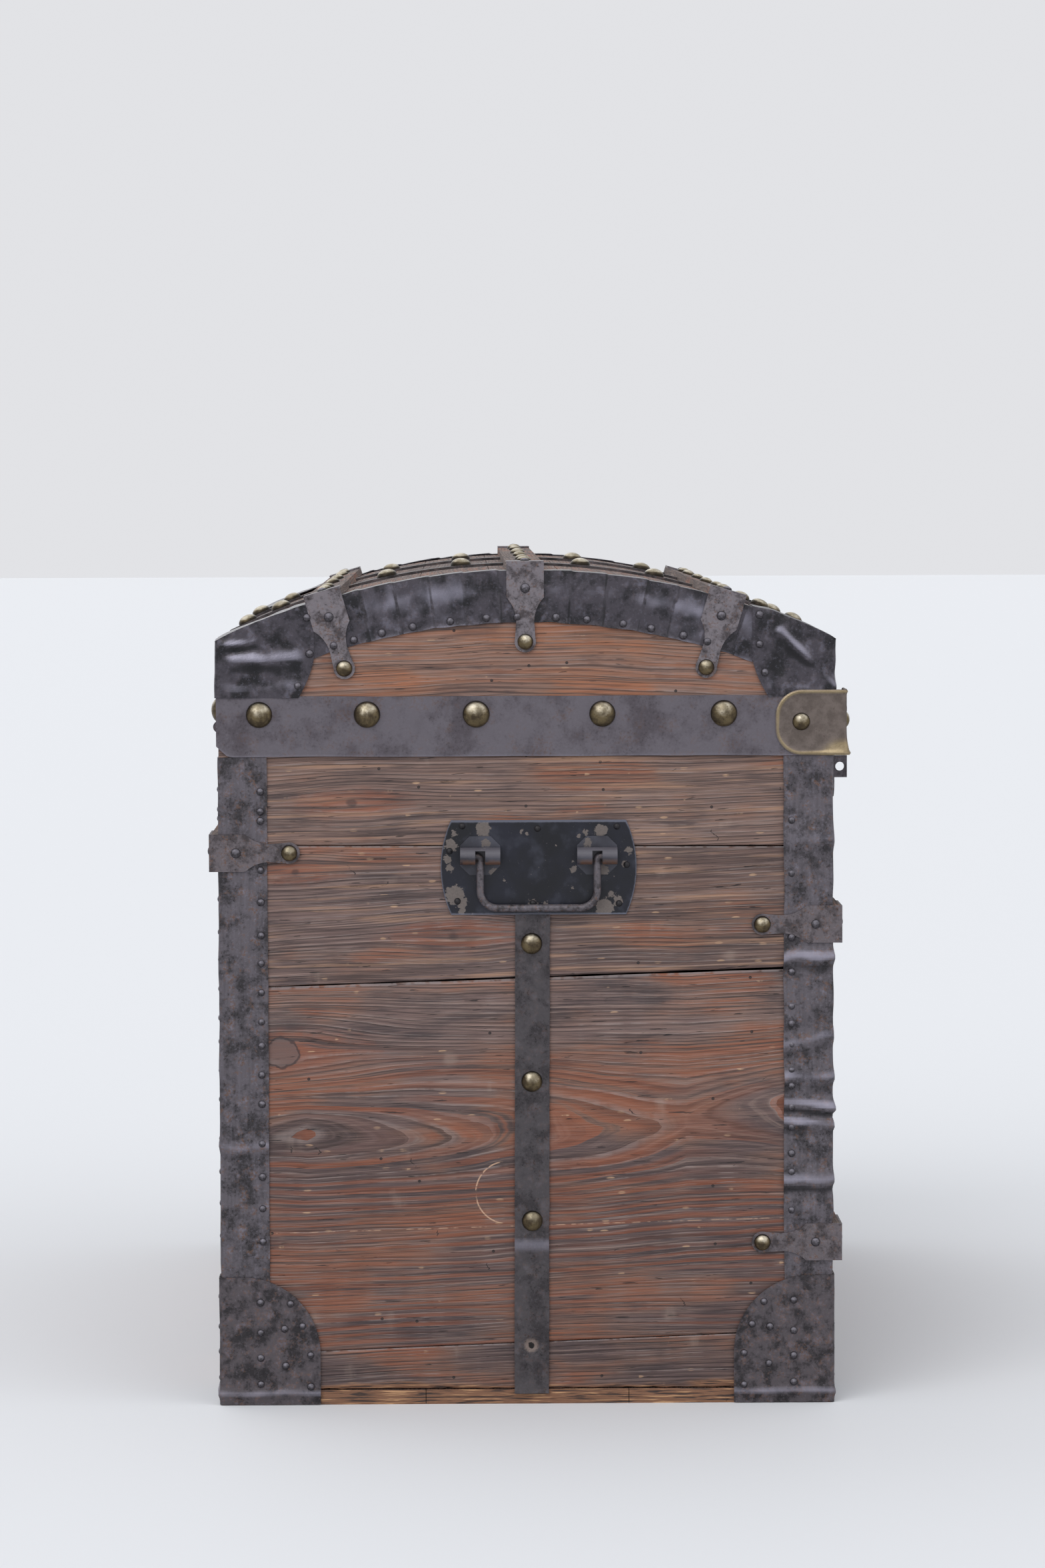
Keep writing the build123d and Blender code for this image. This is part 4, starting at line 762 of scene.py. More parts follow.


# Pins and domed nails: round heads driven through the irons. The pins are black iron, 5.8 mm
# across; the nails are hollow brass domes, dark at the foot and bright with wear on the crown.
# Both have a painted highlight over their upper halves, taken from the way each point faces.
def head_tree():
    """Geometry Nodes that put a round head on every point, turned the way that it faces."""
    tree = bpy.data.node_groups.new("round_heads", "GeometryNodeTree")
    tree.is_modifier = True
    face = tree.interface
    face.new_socket("Places", in_out="INPUT", socket_type="NodeSocketGeometry")
    for name, kind in (("Radius", "Float"), ("Rise", "Float"), ("Uneven", "Float"),
                       ("Tilt", "Float"), ("Sides", "Int"), ("Rings", "Int"), ("Seed", "Int"),
                       ("Skin", "Material")):
        face.new_socket(name, in_out="INPUT", socket_type="NodeSocket" + kind)
    face.new_socket("Heads", in_out="OUTPUT", socket_type="NodeSocketGeometry")
    given = tree.nodes.new("NodeGroupInput").outputs

    def add(kind, settings, sockets):
        made = tree.nodes.new(kind)
        for key, value in settings.items():
            setattr(made, key, value)
        for key, value in sockets.items():
            if isinstance(value, bpy.types.NodeSocket):
                tree.links.new(value, made.inputs[key])
            else:
                made.inputs[key].default_value = value
        return made.outputs

    def maths(operation, one, other):
        return add("ShaderNodeMath", {"operation": operation}, {0: one, 1: other})[0]

    def vector(x, y, z):
        return add("ShaderNodeCombineXYZ", {}, {0: x, 1: y, 2: z})[0]

    def height_of(vectors):
        return add("ShaderNodeSeparateXYZ", {}, {0: vectors})["Z"]

    def mark(mesh, name, value):
        """Keeps a number with the mesh's points."""
        return add("GeometryNodeStoreNamedAttribute", {"data_type": "FLOAT", "domain": "POINT"},
                   {"Geometry": mesh, "Name": name, "Value": value})["Geometry"]

    ball = add("GeometryNodeMeshUVSphere", {}, {"Segments": given["Sides"],
                                                "Rings": given["Rings"],
                                                "Radius": given["Radius"]})["Mesh"]
    flat = vector(1.0, 1.0, maths("DIVIDE", given["Rise"], given["Radius"]))
    dome = add("GeometryNodeTransform", {}, {"Geometry": ball, "Scale": flat})[0]
    place = add("GeometryNodeInputPosition", {}, {})[0]
    head = mark(dome, "crest", maths("DIVIDE", height_of(place), given["Rise"]))
    facing = add("GeometryNodeInputNamedAttribute", {"data_type": "FLOAT_VECTOR"},
                 {"Name": "facing"})[0]
    turned = add("FunctionNodeAlignRotationToVector", {"axis": "Z"}, {"Vector": facing})[0]
    size = add("FunctionNodeRandomValue", {"data_type": "FLOAT"},
               {2: maths("SUBTRACT", 1.0, given["Uneven"]), 3: maths("ADD", 1.0, given["Uneven"]),
                "Seed": given["Seed"]})[1]
    least = maths("MULTIPLY", given["Tilt"], -1.0)
    lean = add("FunctionNodeRandomValue", {"data_type": "FLOAT_VECTOR"},
               {0: vector(least, least, 0.0), 1: vector(given["Tilt"], given["Tilt"], whole_turn),
                "Seed": given["Seed"]})[0]
    put = add("GeometryNodeInstanceOnPoints", {}, {"Points": given["Places"], "Instance": head,
                                                   "Rotation": turned, "Scale": size})[0]
    leaning = add("GeometryNodeRotateInstances", {}, {"Instances": put, "Rotation": lean})[0]
    real = add("GeometryNodeRealizeInstances", {}, {"Geometry": leaning})[0]
    # upper: how far each point faces up, which the heads' finishes turn into a painted highlight
    lit = mark(real, "upper", height_of(add("GeometryNodeInputNormal", {}, {})[0]))
    smooth = add("GeometryNodeSetShadeSmooth", {}, {0: lit})[0]
    painted = add("GeometryNodeSetMaterial", {}, {"Geometry": smooth, "Material": given["Skin"]})
    out = tree.nodes.new("NodeGroupOutput")
    tree.links.new(painted[0], out.inputs["Heads"])
    return tree


whole_turn = 6.28
heads = head_tree()


def drive(name, places, radius, rise, finish, body, sides=10, rings=6, uneven=0.06,
          tilt=0.06, seed=1, replaced=()):
    """Round heads at places, each a point on the surface and the way that it faces."""
    mesh = bpy.data.meshes.new(name)
    mesh.from_pydata([Vector(point) * metre for point, way in places], [], [])
    facing = mesh.attributes.new("facing", "FLOAT_VECTOR", "POINT")
    facing.data.foreach_set("vector", np.array([way for point, way in places], np.float32).ravel())
    piece = bpy.data.objects.new(name, mesh)
    bpy.context.scene.collection.objects.link(piece)
    made = piece.modifiers.new("heads", "NODES")
    made.node_group = heads
    wanted = {"Radius": radius * metre, "Rise": rise * metre, "Uneven": uneven, "Tilt": tilt,
              "Sides": sides, "Rings": rings, "Seed": seed, "Skin": finish}
    for item in heads.interface.items_tree:
        if item.name in wanted and item.in_out == "INPUT":
            made[item.identifier] = wanted[item.name]
    shaped = piece.evaluated_get(bpy.context.evaluated_depsgraph_get())
    result = bpy.data.meshes.new_from_object(shaped)
    piece.modifiers.remove(made)
    piece.data = result
    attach(piece, body)
    if replaced:
        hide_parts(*replaced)
    return piece


def pin_iron(name):
    """Round iron heads: a painted highlight over the crown and upper half, with specks, and a
    black foot of dirt and painted shade.
    """
    finish = Finish(name)
    speck = finish.cloud(finish.place, 0.7, 3.0, 0.6)
    crest, upper = finish.kept("crest"), finish.kept("upper")
    # a painted highlight on the crown and upper half, with dust specks; a black foot of dirt and
    # painted shade, reaching higher on the upper side
    dust_and_painted_highlight = (crest * 0.5 + upper * 0.6 + (speck - 0.5) * 0.5).ramp(0.25, 0.95)
    body = finish.coats(tone(44, 41, 44), (speck.ramp(0.35, 0.65), (74, 70, 76)),
                        (dust_and_painted_highlight * 0.75, (134, 130, 140)),
                        ((crest - upper * 0.3).ramp(0.38, 0.02) * 0.9, (24, 22, 25)))
    return finish.done(body, 0.36 + speck * 0.2, speck * 1.0, 0.2, 0.4)


pin_skin = pin_iron("pin_skin")
pin_radius, pin_rise = 2.9, 2.2
near_left_pins = (463, 448, 441, 404, 380, 355, 334, 312, 290, 272, 250, 228, 198, 173, 149, 124)
near_right_pins = (352, 326, 300, 287, 271, 252, 240, 224, 209, 189, 175, 146, 440, 400)
base_pins = ((6, 78), (36, 77), (6, 55), (48, 60), (6, 36), (56, 38), (6, 16), (56, 14), (30, 58),
             (31, 30))


def leg_places(hand_x, hand_y, spots, proud):
    """Places on both legs of a corner's sheet: a spot is how far in from the corner, how high."""
    places = []
    for reach, height in spots:
        places.append(((hand_x * (body_face + proud), hand_y * (body_side - reach), height),
                       (hand_x, 0, 0)))
        places.append(((hand_x * (body_face - reach), hand_y * (body_side + proud), height),
                       (0, hand_y, 0)))
    return places


back_iron_spots = [(iron_leg - 5.5, height) for height in near_left_pins]
front_iron_spots = [(iron_leg - 6.0, height) for height in near_right_pins]
base_cap_spots = [(26 + 0.75 * inward - 2 * iron_sheet, height) for inward, height in base_pins]
body_pins = []
for hand in (-1, 1):
    body_pins += leg_places(hand, 1, back_iron_spots, iron_sheet)
    body_pins += leg_places(hand, -1, front_iron_spots, iron_sheet)
for hand_x in (-1, 1):
    for hand_y in (-1, 1):
        body_pins += leg_places(hand_x, hand_y, base_cap_spots, 2 * iron_sheet + 0.5)
drive("body_pins", body_pins, pin_radius, pin_rise, pin_skin, "trunk", seed=4)


def brass(name, flat=False):
    """Old brass: brown in the hollows, pale olive gold where hands have polished it, and on a
    domed head a painted highlight over its upper half.
    """
    finish = Finish(name)
    film = finish.cloud(finish.place, 0.13, 4.0, 0.6)
    speck = finish.cloud(finish.place, 0.7, 3.0, 0.6)
    if flat:
        pale_share = finish.kept("wear_and_painted_light").ramp(0.1, 0.9)
        body = finish.coats(tone(94, 85, 80), (film.ramp(0.35, 0.65), (110, 100, 95)))
        body = finish.mix(pale_share * 0.8, body,
                          finish.mix(film, tone(120, 104, 76), tone(166, 150, 118)))
    else:  # a domed head: a painted highlight over its upper half, a crown bright with wear, a dark foot
        crest, upper = finish.kept("crest"), finish.kept("upper")
        # pale: wear on the crown, and a painted highlight where the head faces up
        pale_share = (crest * 0.9 + upper * 0.9 + (film - 0.5) * 0.5).ramp(0.72, 1.25)
        body = finish.coats(tone(66, 56, 42), (film.ramp(0.35, 0.65), (106, 93, 68)))
        body = finish.mix(pale_share * 0.9, body, finish.mix(
            film.ramp(0.4, 0.62), tone(150, 140, 118), tone(196, 188, 170)))
        body = finish.coats(body, ((crest - upper * 0.25).ramp(0.46, 0.12) * 0.9, (26, 21, 16)),
                            (crest.ramp(0.985, 0.995) * 0.5, (90, 78, 60)))
    body = finish.coats(body, (speck.ramp(0.58, 0.70) * (0.3 if flat else 0.6), (56, 46, 38)))
    roughness = 0.30 + film * 0.18 + speck * 0.10 - pale_share * 0.12
    return finish.done(body, roughness, film * 1.0 + speck * 0.4, 0.25, 0.8)


nail_brass = brass("nail_brass")
rim_face, band_end, band_back = 239.2, 401.2, 231.2
rim_nail_height = 520.5
rim_shares = (0.865, 0.515, 0.16, -0.25, -0.645)
big_nails = []
for hand in (-1, 1):
    big_nails += [((hand * band_end, share * half_depth, rim_nail_height), (hand, 0, 0))
                  for share in rim_shares]
for x in (328.0, 180.0, 80.0, -80.0, -180.0, -328.0):
    big_nails.append(((x, -rim_face, rim_nail_height), (0, -1, 0)))
    big_nails.append(((x, band_back, rim_nail_height), (0, 1, 0)))
drive("rim_domes", big_nails, 10, 7, nail_brass, "lid", 28, 14, 0.03, 0.07, 2,
      ["rim_nails"])

cap_nail_height, cap_nail_inset = 514.15, 33.0
brass_sheet = 1.2
cap_nails = []
for hand in (-1, 1):
    cap_nails += [((hand * (band_end + brass_sheet), cap_nail_inset - rim_face, cap_nail_height),
                   (hand, 0, 0)),
                  ((hand * (band_end + brass_sheet - cap_nail_inset), -rim_face - brass_sheet,
                    cap_nail_height), (0, -1, 0))]
drive("rim_cap_domes", cap_nails, 6.5, 4.5, nail_brass, "lid", 24, 12, 0.03, 0.05, 3)


def on_dome(angle, rise):
    """A place over the dome: angle degrees from its middle line, rise mm above the staves."""
    turn = math.radians(angle)
    way = (0, math.sin(turn), math.cos(turn))
    return ((dome_radius + rise) * way[1], dome_centre + (dome_radius + rise) * way[2]), way


hoop_thickness = 2.0
hoop_shares = (0.2, 0.45, 0.82, 0.94)
hoop_domes = []
for x in (-half_length / 3, half_length / 3):
    for share in hoop_shares:
        for hand in (-1, 1):
            (y, z), way = on_dome(hand * share * math.degrees(dome_half_angle), hoop_thickness)
            hoop_domes.append(((x, y, z), way))
drive("hoop_domes", hoop_domes, 8, 5.5, nail_brass, "lid", 24, 12, 0.04, 0.08, 5,
      ["hoop_nails"])

strap_middle, strap_face = -4.0, 400.8
strap_nail_heights = (348.3, 244.4, 139.0, 44.6)
strap_domes = [((hand * strap_face, strap_middle, height), (hand, 0, 0)) for hand in (-1, 1)
               for height in strap_nail_heights[:-1]]
strap_domes.append(((strap_face, strap_middle, strap_nail_heights[-1]), (1, 0, 0)))
drive("strap_domes", strap_domes, 8, 5.5, nail_brass, "trunk", 24, 12, 0.03, 0.08, 6,
      ["strap_nails"])  # the near strap's lowest nail is lost

clamp_out, clamp_fold = 401.9, 237.1  # outer faces of the body's clamps: end leg and side leg
slat_face = 235.6
eye_drop, rivet_drop = 60, 20  # from a clamp's fold to its eye and to its rivet
slat_nails = (-328, -240, -72, 72, 240, 328)
slat_rows = ([(-1, height) for height in front_slat_heights]
             + [(1, height) for height in back_slat_heights])
clamp_domes = [((hand * clamp_out, side * (clamp_fold - eye_drop), height), (hand, 0, 0))
               for hand in (-1, 1) for side, height in slat_rows]
drive("body_clamp_domes", clamp_domes, 6.25, 4.5, nail_brass, "trunk", 24, 12, 0.03,
      0.06, 7, ["body_slat_nails"])
body_rivets = [((hand * clamp_out, side * (clamp_fold - rivet_drop), height), (hand, 0, 0))
               for hand in (-1, 1) for side, height in slat_rows]
body_rivets += [((hand * (body_face - 22.5), side * clamp_fold, height), (0, side, 0))
                for hand in (-1, 1) for side, height in slat_rows]
body_rivets += [((x, side * slat_face, height), (0, side, 0)) for side, height in slat_rows
                for x in slat_nails]
drive("body_slat_rivets", body_rivets, 3.6, 2.2, pin_skin, "trunk", 14, 8, seed=8)

lid_clamp_out = 402.3
lid_slat_rise, lid_clamp_rise = 6.0, 7.5
lid_leans = (-16.441, 0.0, 16.441)
lid_domes, lid_rivets = [], []
for lean in lid_leans:
    for hand in (-1, 1):
        for heads_there, drop in ((lid_domes, eye_drop), (lid_rivets, rivet_drop)):
            (y, z), way = on_dome(lean, lid_clamp_rise - drop)
            heads_there.append(((hand * lid_clamp_out, y, z), (hand, 0, 0)))
    for x in (-377.5, *slat_nails, 377.5):
        on_clamp = abs(x) > max(slat_nails)
        (y, z), way = on_dome(lean, lid_clamp_rise if on_clamp else lid_slat_rise)
        (lid_rivets if on_clamp else lid_domes).append(((x, y, z), way))
drive("lid_clamp_domes", lid_domes, 6.0, 4.2, nail_brass, "lid", 24, 12, 0.05, 0.08,
      9, ["lid_slat_nails"])
drive("lid_slat_rivets", lid_rivets, 3.6, 2.2, pin_skin, "lid", 14, 8, seed=10)


# The strap under each handle: a flat bar of 1.2 mm iron from the plate to the base, bent once
# near its foot, fixed by domed nails.
strap_shades = ((50, 46, 49), (70, 66, 69), (96, 91, 97))
strap_skin = iron("strap_skin", strap_shades, 0.46, 0.2, uneven=0.8)
near_strap_skin = iron("near_strap_skin", strap_shades, 0.46, 0.2, uneven=0.8,
                       hole=(strap_middle + 1, strap_nail_heights[-1], 2.2))
strap_low, strap_high, strap_half, strap_sheet = 8.0, 370.0, 13.0, 1.2


def strap_patch(hand):
    """The outer face of a strap."""
    def place(z, y):
        bend = 1.1 * math.exp(-((z - 121) / 7) ** 2) - 0.5 * math.exp(-((z - 108) / 6) ** 2)
        curl = 1.0 * math.exp(-((z - strap_low) / 6) ** 2)
        rise = 0.25 + bend + curl + 0.25 * waver(y, z, 0, 30, 2.7)
        crown = 0.25 * (1 - (y / strap_half) ** 2)
        slant = 1.6 * (0.5 - (z - strap_low) / (strap_high - strap_low))
        edge = 0.35 * waver(0, z, y, 16, 9.1)
        # the mark paints a highlight along the bend and painted shade just above it
        return (hand * (body_face + strap_sheet + max(rise, -0.1) + crown),
                strap_middle + slant + y + edge, z,
                0.5 * bend - 0.35 * math.exp(-((z - 132) / 5) ** 2))

    return grid_of(spread(strap_low, strap_high, 3.0), np.linspace(-strap_half, strap_half, 9),
                   place)


sheet_piece("near_centre_strap", [strap_patch(-1)], strap_sheet, near_strap_skin, "trunk",
            ["centre_straps"])
sheet_piece("far_centre_strap", [strap_patch(1)], strap_sheet, strap_skin, "trunk")


# The rim band round the foot of the lid: 45 mm of 1.2 mm iron, painted dark, a little wavy,
# one length to each side, nailed to the boards. Its lower back corner is cut off at a slant.
band_skin = iron("band_skin", ((76, 70, 76), (96, 91, 98), (106, 101, 110)), 0.44, 0.3, 0.6,
                 uneven=0.35, pits=0.4)
band_low, band_high, band_sheet = 489.0, 534.0, 1.2


def end_band_patch(hand):
    """The outer face of the band on an end of the lid."""
    def place(z, y):
        foot = band_low + max(0.0, y - (band_back - 9)) * 0.9
        z = foot + (z - band_low) / (band_high - band_low) * (band_high - foot)
        z += 0.4 * waver(y, 0, 0 if z < 510 else 9, 60, 3.9)
        out = 0.3 + 0.35 * waver(y, z, 0, 60, 6.6) + 0.15 * waver(y, z, 0, 17, 6.6)
        mark = 0.35 if z < foot + 1.2 else 0.12 * waver(y, z, 0, 25, 1.7)
        return hand * (band_end + max(out, 0)), y, z, mark

    return grid_of(spread(band_low, band_high, 3.0, (0.5,)), spread(-rim_face, band_back, 4.0),
                   place)


for hand, name in ((-1, "near"), (1, "far")):
    sheet_piece(name + "_rim_sheet", [end_band_patch(hand)], band_sheet, band_skin, "lid",
                [name + "_rim_band"], core=(0, 0, 510))
dress(band_skin, "front_rim_band", "back_rim_band")


# Brass caps on the front corners of the rim: a rounded plate folded round each corner, with a
# raised border, rubbed bright along its edges and held by one domed nail on each face.
cap_brass = brass("cap_brass", True)
plate_low, plate_high, plate_width, plate_round = 489.0, 538.0, 53.0, 20.0
plate_middle, half_rise = (plate_low + plate_high) / 2, (plate_high - plate_low) / 2


def plate_width_at(height):
    """Both legs of the brass cap at a height: rounded at top and bottom."""
    return rounded_legs(plate_width, plate_round,
                        abs(height - plate_middle) - (half_rise - plate_round))


def plate_border(across, height):
    """The raised border of the brass cap, and the flare of its lower corner."""
    inward = max(0.0, abs(across) - (plate_width - plate_round))
    up = abs(height - plate_middle)
    corner_up = max(0.0, up - (half_rise - plate_round))
    if abs(across) > plate_width - plate_round:
        to_edge = plate_round - math.hypot(inward, corner_up)
    else:
        to_edge = half_rise - up
    border = 0.9 * math.exp(-((to_edge - 1.6) / 1.3) ** 2)
    flare = 2.2 * math.exp(-((height - plate_low) / 9) ** 2) * math.exp(-(across / 14) ** 2)
    return border + flare + 0.2 * waver(across, height, 0, 15, 4.4)


plate_rows = plate_middle + half_rise * np.sin(np.linspace(-90, 90, 41) * math.pi / 180)
plate_columns = np.concatenate([-np.sin(np.linspace(90, 4, 26) * math.pi / 180),
                                np.linspace(-0.05, 0.05, 5),
                                np.sin(np.linspace(4, 90, 26) * math.pi / 180)])
for hand, name in ((-1, "near_rim_corner"), (1, "far_rim_corner")):
    patch = corner_patch(band_end + brass_sheet, rim_face + brass_sheet, hand, -1, plate_rows,
                         plate_width_at, plate_columns, plate_border)
    bright = np.array([[plate_border(share * plate_width_at(z)[0], z) for share in plate_columns]
                       for z in plate_rows])
    sheet_piece(name, [(patch[0], bright)], brass_sheet, cap_brass, "lid",
                ["rim_corner_caps"], core=(hand * 300, -150, 510))


# Edging and corner caps of the lid: thin glossy black sheet beaten over the dome's end edge in
# overlapping pleats about 27 mm apart, and crumpled over the corners. Held by small pins.
edging_skin = iron("edging_skin", ((26, 25, 29), (66, 62, 69), (108, 106, 119)), 0.26, 0.12,
                   pits=0.5)
edging_low, edging_high, edging_turn = 492.06, 530.86, 26.0
edging_end = 400.8
pleat = 27.0
back_cap_start, front_cap_start = 158.0, 170.0  # how far out from the middle the caps begin


def rounded_out(x, y, z):
    """The way out of the lid at a place on its skin, rounded over its edges."""
    radius = math.hypot(y, z - dome_centre)
    ease = 5.0
    to_end = max(0.0, 1 - (half_length + 1 - abs(x)) / ease)
    to_side = max(0.0, 1 - (half_depth + 1 - abs(y)) / ease)
    to_top = max(0.0, 1 - (dome_radius + 1 - radius) / ease)
    out = Vector((math.copysign(to_end, x), math.copysign(to_side, y) + to_top * y / radius,
                  to_top * (z - dome_centre) / radius))
    return out.normalized() if out.length > 0 else Vector((math.copysign(1, x), 0, 0))


def edging_section(turn_share):
    """Distance along the section of the edging: its end leg, then its turned-over leg."""
    leg = edging_high - edging_low
    path = turn_share * (leg + edging_turn)
    if path <= leg:
        return edging_end, edging_low + path
    return edging_end - (path - leg), edging_high


def clear_of_clamps(angle):
    """0 under a lid clamp, 1 beside it, so that no sheet comes through the clamp."""
    gap = min(abs(angle - math.radians(lean)) for lean in lid_leans) * dome_radius
    return min(1.0, max(0.0, (gap - 15) / 7))


def edging_patch(hand, seed):
    """The pleated edging of one end of the lid."""
    half = 0.352  # radians to each side of the crown
    columns = np.linspace(-half, half, int(2 * half * dome_radius / 1.4))
    rows = np.concatenate([np.linspace(0, 0.57, 17), np.linspace(0.585, 0.615, 4),
                           np.linspace(0.65, 1, 8)])

    def place(row, angle):
        x, radius = edging_section(row)
        path = 9 * seed - angle * dome_radius
        slant = 0.12 * (radius - edging_low) * waver(path // pleat, 0, 0, 1.7, seed)
        number, within = divmod(path + slant + 5 * waver(path, 0, 0, 40, seed), pleat)
        tail = pleat - within
        step = (0.8 + 0.5 * waver(number, 3, 0, 1.3, seed)) * min(within / pleat, tail / 2.0)
        bulge = math.sin(math.pi * min(1.0, row / 0.6))
        swell = 0.5 + 0.6 * waver(path, radius, 0, 21, seed)
        lip = 0.8 * math.exp(-((radius - edging_low) / 2.0) ** 2) if abs(x) > half_length else 0
        if row < 0.02:
            radius += 1.2 * waver(path, 0, 0, 16, seed + 5)
        y, z = radius * math.sin(angle), dome_centre + radius * math.cos(angle)
        out = rounded_out(x, y, z)
        free = clear_of_clamps(angle) * min(1.0, max(0.0, (half - abs(angle)) * 12 - 0.3))
        lift = 0.1 + free * (step + 1.5 * bulge * max(0.0, swell)) + lip * free
        # a painted highlight in a band along the middle of the bulge, stronger where it swells
        painted_shine = math.exp(-((row - 0.38) / 0.09) ** 2) * (0.10 + 0.55 * swell)
        seam = math.exp(-((tail - 0.8) / 0.7) ** 2)
        edge = math.exp(-((tail - 2.6) / 1.1) ** 2) * max(0.0, waver(number, 1, 0, 1.1, seed))
        mark = (0.45 * waver(number, 7, 0, 1.3, seed) + painted_shine - 0.8 * seam + 0.8 * edge
                + 0.25 * waver(path, radius, 0, 8, seed) + 0.25 * (lip > 0.35)
                - 0.35 * (row > 0.62))
        return hand * (x + abs(out.x) * lift), y + out.y * lift, z + out.z * lift, mark

    points, proud = grid_of(rows, columns, place)
    return points, np.clip(proud, -1, 1)


# Folds beaten into the lid's corner caps, seen on their end walls: both ends of each fold (how
# far out from the middle, how high), its depth and its half width.
back_cap_folds = ((226, 581, 200, 589, 1.4, 2.5), (224, 572, 203, 574, 1.8, 3.0),
                  (222, 567, 204, 569, -1.6, 2.6), (216, 559, 170, 562, 1.7, 5.0),
                  (222, 548, 172, 551, -1.8, 7.0), (205, 573, 192, 562, -1.0, 4.0))
front_cap_folds = ((191, 581, 230, 541, 2.8, 4.0), (206, 553, 230, 546, -2.4, 8.0),
                   (183, 596, 188, 545, 1.4, 8.0), (226, 580, 205, 592, 1.8, 5.0),
                   (199, 560, 196, 540, -1.4, 6.0))


def crumple(x, y, z, seed, folds):
    """How far a lid cap stands out: broad dents, and folds across its end wall."""
    lift = 1.7 + 1.8 * waver(x, y, z, 40, seed) + 0.8 * waver(x, y, z, 15, seed + 4)
    for start_y, start_z, end_y, end_z, depth, width in folds:
        run_y, run_z = end_y - start_y, end_z - start_z
        length = run_y * run_y + run_z * run_z
        share = ((abs(y) - start_y) * run_y + (z - start_z) * run_z) / length
        share = min(1.0, max(0.0, share))
        away = math.hypot(abs(y) - start_y - share * run_y, z - start_z - share * run_z)
        ebb = max(0.0, 1 - (half_length + 1 - abs(x)) / 14)
        lift += ebb * depth * (0.4 + 0.6 * math.sin(math.pi * min(0.9, share + 0.15))
                               ) * math.exp(-(away / width) ** 2)
    return lift


def lid_cap_patches(hand_x, hand_y, seed):
    """A cap's wall, folded round the corner, and its top over the dome."""
    inner_edge = back_cap_start if hand_y > 0 else front_cap_start
    folds = back_cap_folds if hand_y > 0 else front_cap_folds
    side_y = half_depth + iron_sheet
    reach = side_y - inner_edge
    shares = np.concatenate([np.linspace(-1, -0.06, 34), np.linspace(-0.04, 0.04, 5),
                             np.linspace(0.06, 1, 30)])
    inwards = np.concatenate([np.linspace(0, 4, 5), np.linspace(7, reach, 24)])

    def crumpled(x, y, z):
        """A place pushed out to its dents, and how far that is."""
        out = rounded_out(x, y, z)
        ease = min(1.0, max(0.0, (abs(y) - inner_edge) / 14))
        lift = max(0.5, 0.8 + (crumple(x, y, z, seed, folds) - 0.8) * ease)
        return (hand_x * (x + abs(out.x) * lift), hand_y * (y + abs(out.y) * lift),
                z + out.z * lift, lift)

    def on_wall(rise, share):
        (x, y, z), way = round_corner(edging_end, side_y, share * reach, 0)
        if share < 0:
            y += max(0.0, -share) * 12 * max(0.0, 1 - rise / 0.45) ** 1.5
        top = dome_centre + math.sqrt(edging_high ** 2 - min(y, side_y) ** 2)
        return crumpled(x, y, band_high - 1 + (top - band_high + 1) * rise)

    def on_top(inward, across):
        x, y = edging_end - inward, side_y - across
        return crumpled(x, y, dome_centre + math.sqrt(edging_high ** 2 - y ** 2))

    # the walls get painted highlight and painted shade from the lean of their dents, and wear on
    # their crests; the tops are paler where their dents stand higher
    wall_points, wall_dents = grid_of(np.linspace(0, 1, 30), shares, on_wall)
    top_points, top_dents = grid_of(inwards, inwards, on_top)
    return [(wall_points, painted_lean_light_and_wear(wall_dents, 2.0, 1.1)),
            (top_points, np.clip((top_dents - 1.7) * 0.2 - 0.15, -1, 1))]


for hand, name, seed in ((-1, "near", 2.0), (1, "far", 5.0)):
    sheet_piece(name + "_pleated_edging", [edging_patch(hand, seed)], iron_sheet, edging_skin,
                "lid", [name + "_lid_edging"], core=(hand * 300, 0, 480), smooth=0.6)
    for side, end in ((-1, "front"), (1, "back")):
        sheet_piece(f"{name}_{end}_lid_cap", lid_cap_patches(hand, side, seed * 3 + side * 1.7),
                    iron_sheet, edging_skin, "lid", [name + "_lid_caps"],
                    core=(hand * 330, side * 150, 540), smooth=0.6)

edging_pin_places = (-143, -128, -107, -84, -56, -29, -6, 23, 46, 73, 94, 118, 136)
cap_pin_places = ((163, 593), (161, 566), (170, 542), (-175, 594), (-175, 572), (-179, 551))
side_pin_x, side_pin_y, side_pin_heights = 336, 231.8, (543, 566)
edging_pin_radius = edging_low + 4
lid_pins = []
for hand in (-1, 1):
    lid_pins += [((hand * (edging_end + 1.0), -y,
                   dome_centre + math.sqrt(edging_pin_radius ** 2 - y ** 2)), (hand, 0, 0))
                 for y in edging_pin_places]
    lid_pins += [((hand * (edging_end + 1.4), y, z), (hand, 0, 0)) for y, z in cap_pin_places]
    lid_pins += [((hand * side_pin_x, side * side_pin_y, z), (0, side, 0)) for side in (-1, 1)
                 for z in side_pin_heights]
drive("lid_pins", lid_pins, pin_radius + 0.2, pin_rise, pin_skin, "lid", seed=12)


# Hoops, slats and clamps: two iron hoops over the dome, wooden slats along lid and body, and a
# waisted iron clamp folded over each slat's end, with an eye for its nail.
hoop_skin = iron("hoop_skin", ((40, 37, 38), (76, 70, 72), (104, 98, 104)), 0.46, 0.5)
clamp_skin = iron("clamp_skin", ((62, 56, 58), (98, 91, 95), (122, 116, 123)), 0.48, 0.8, 1.8,
                  uneven=0.8)
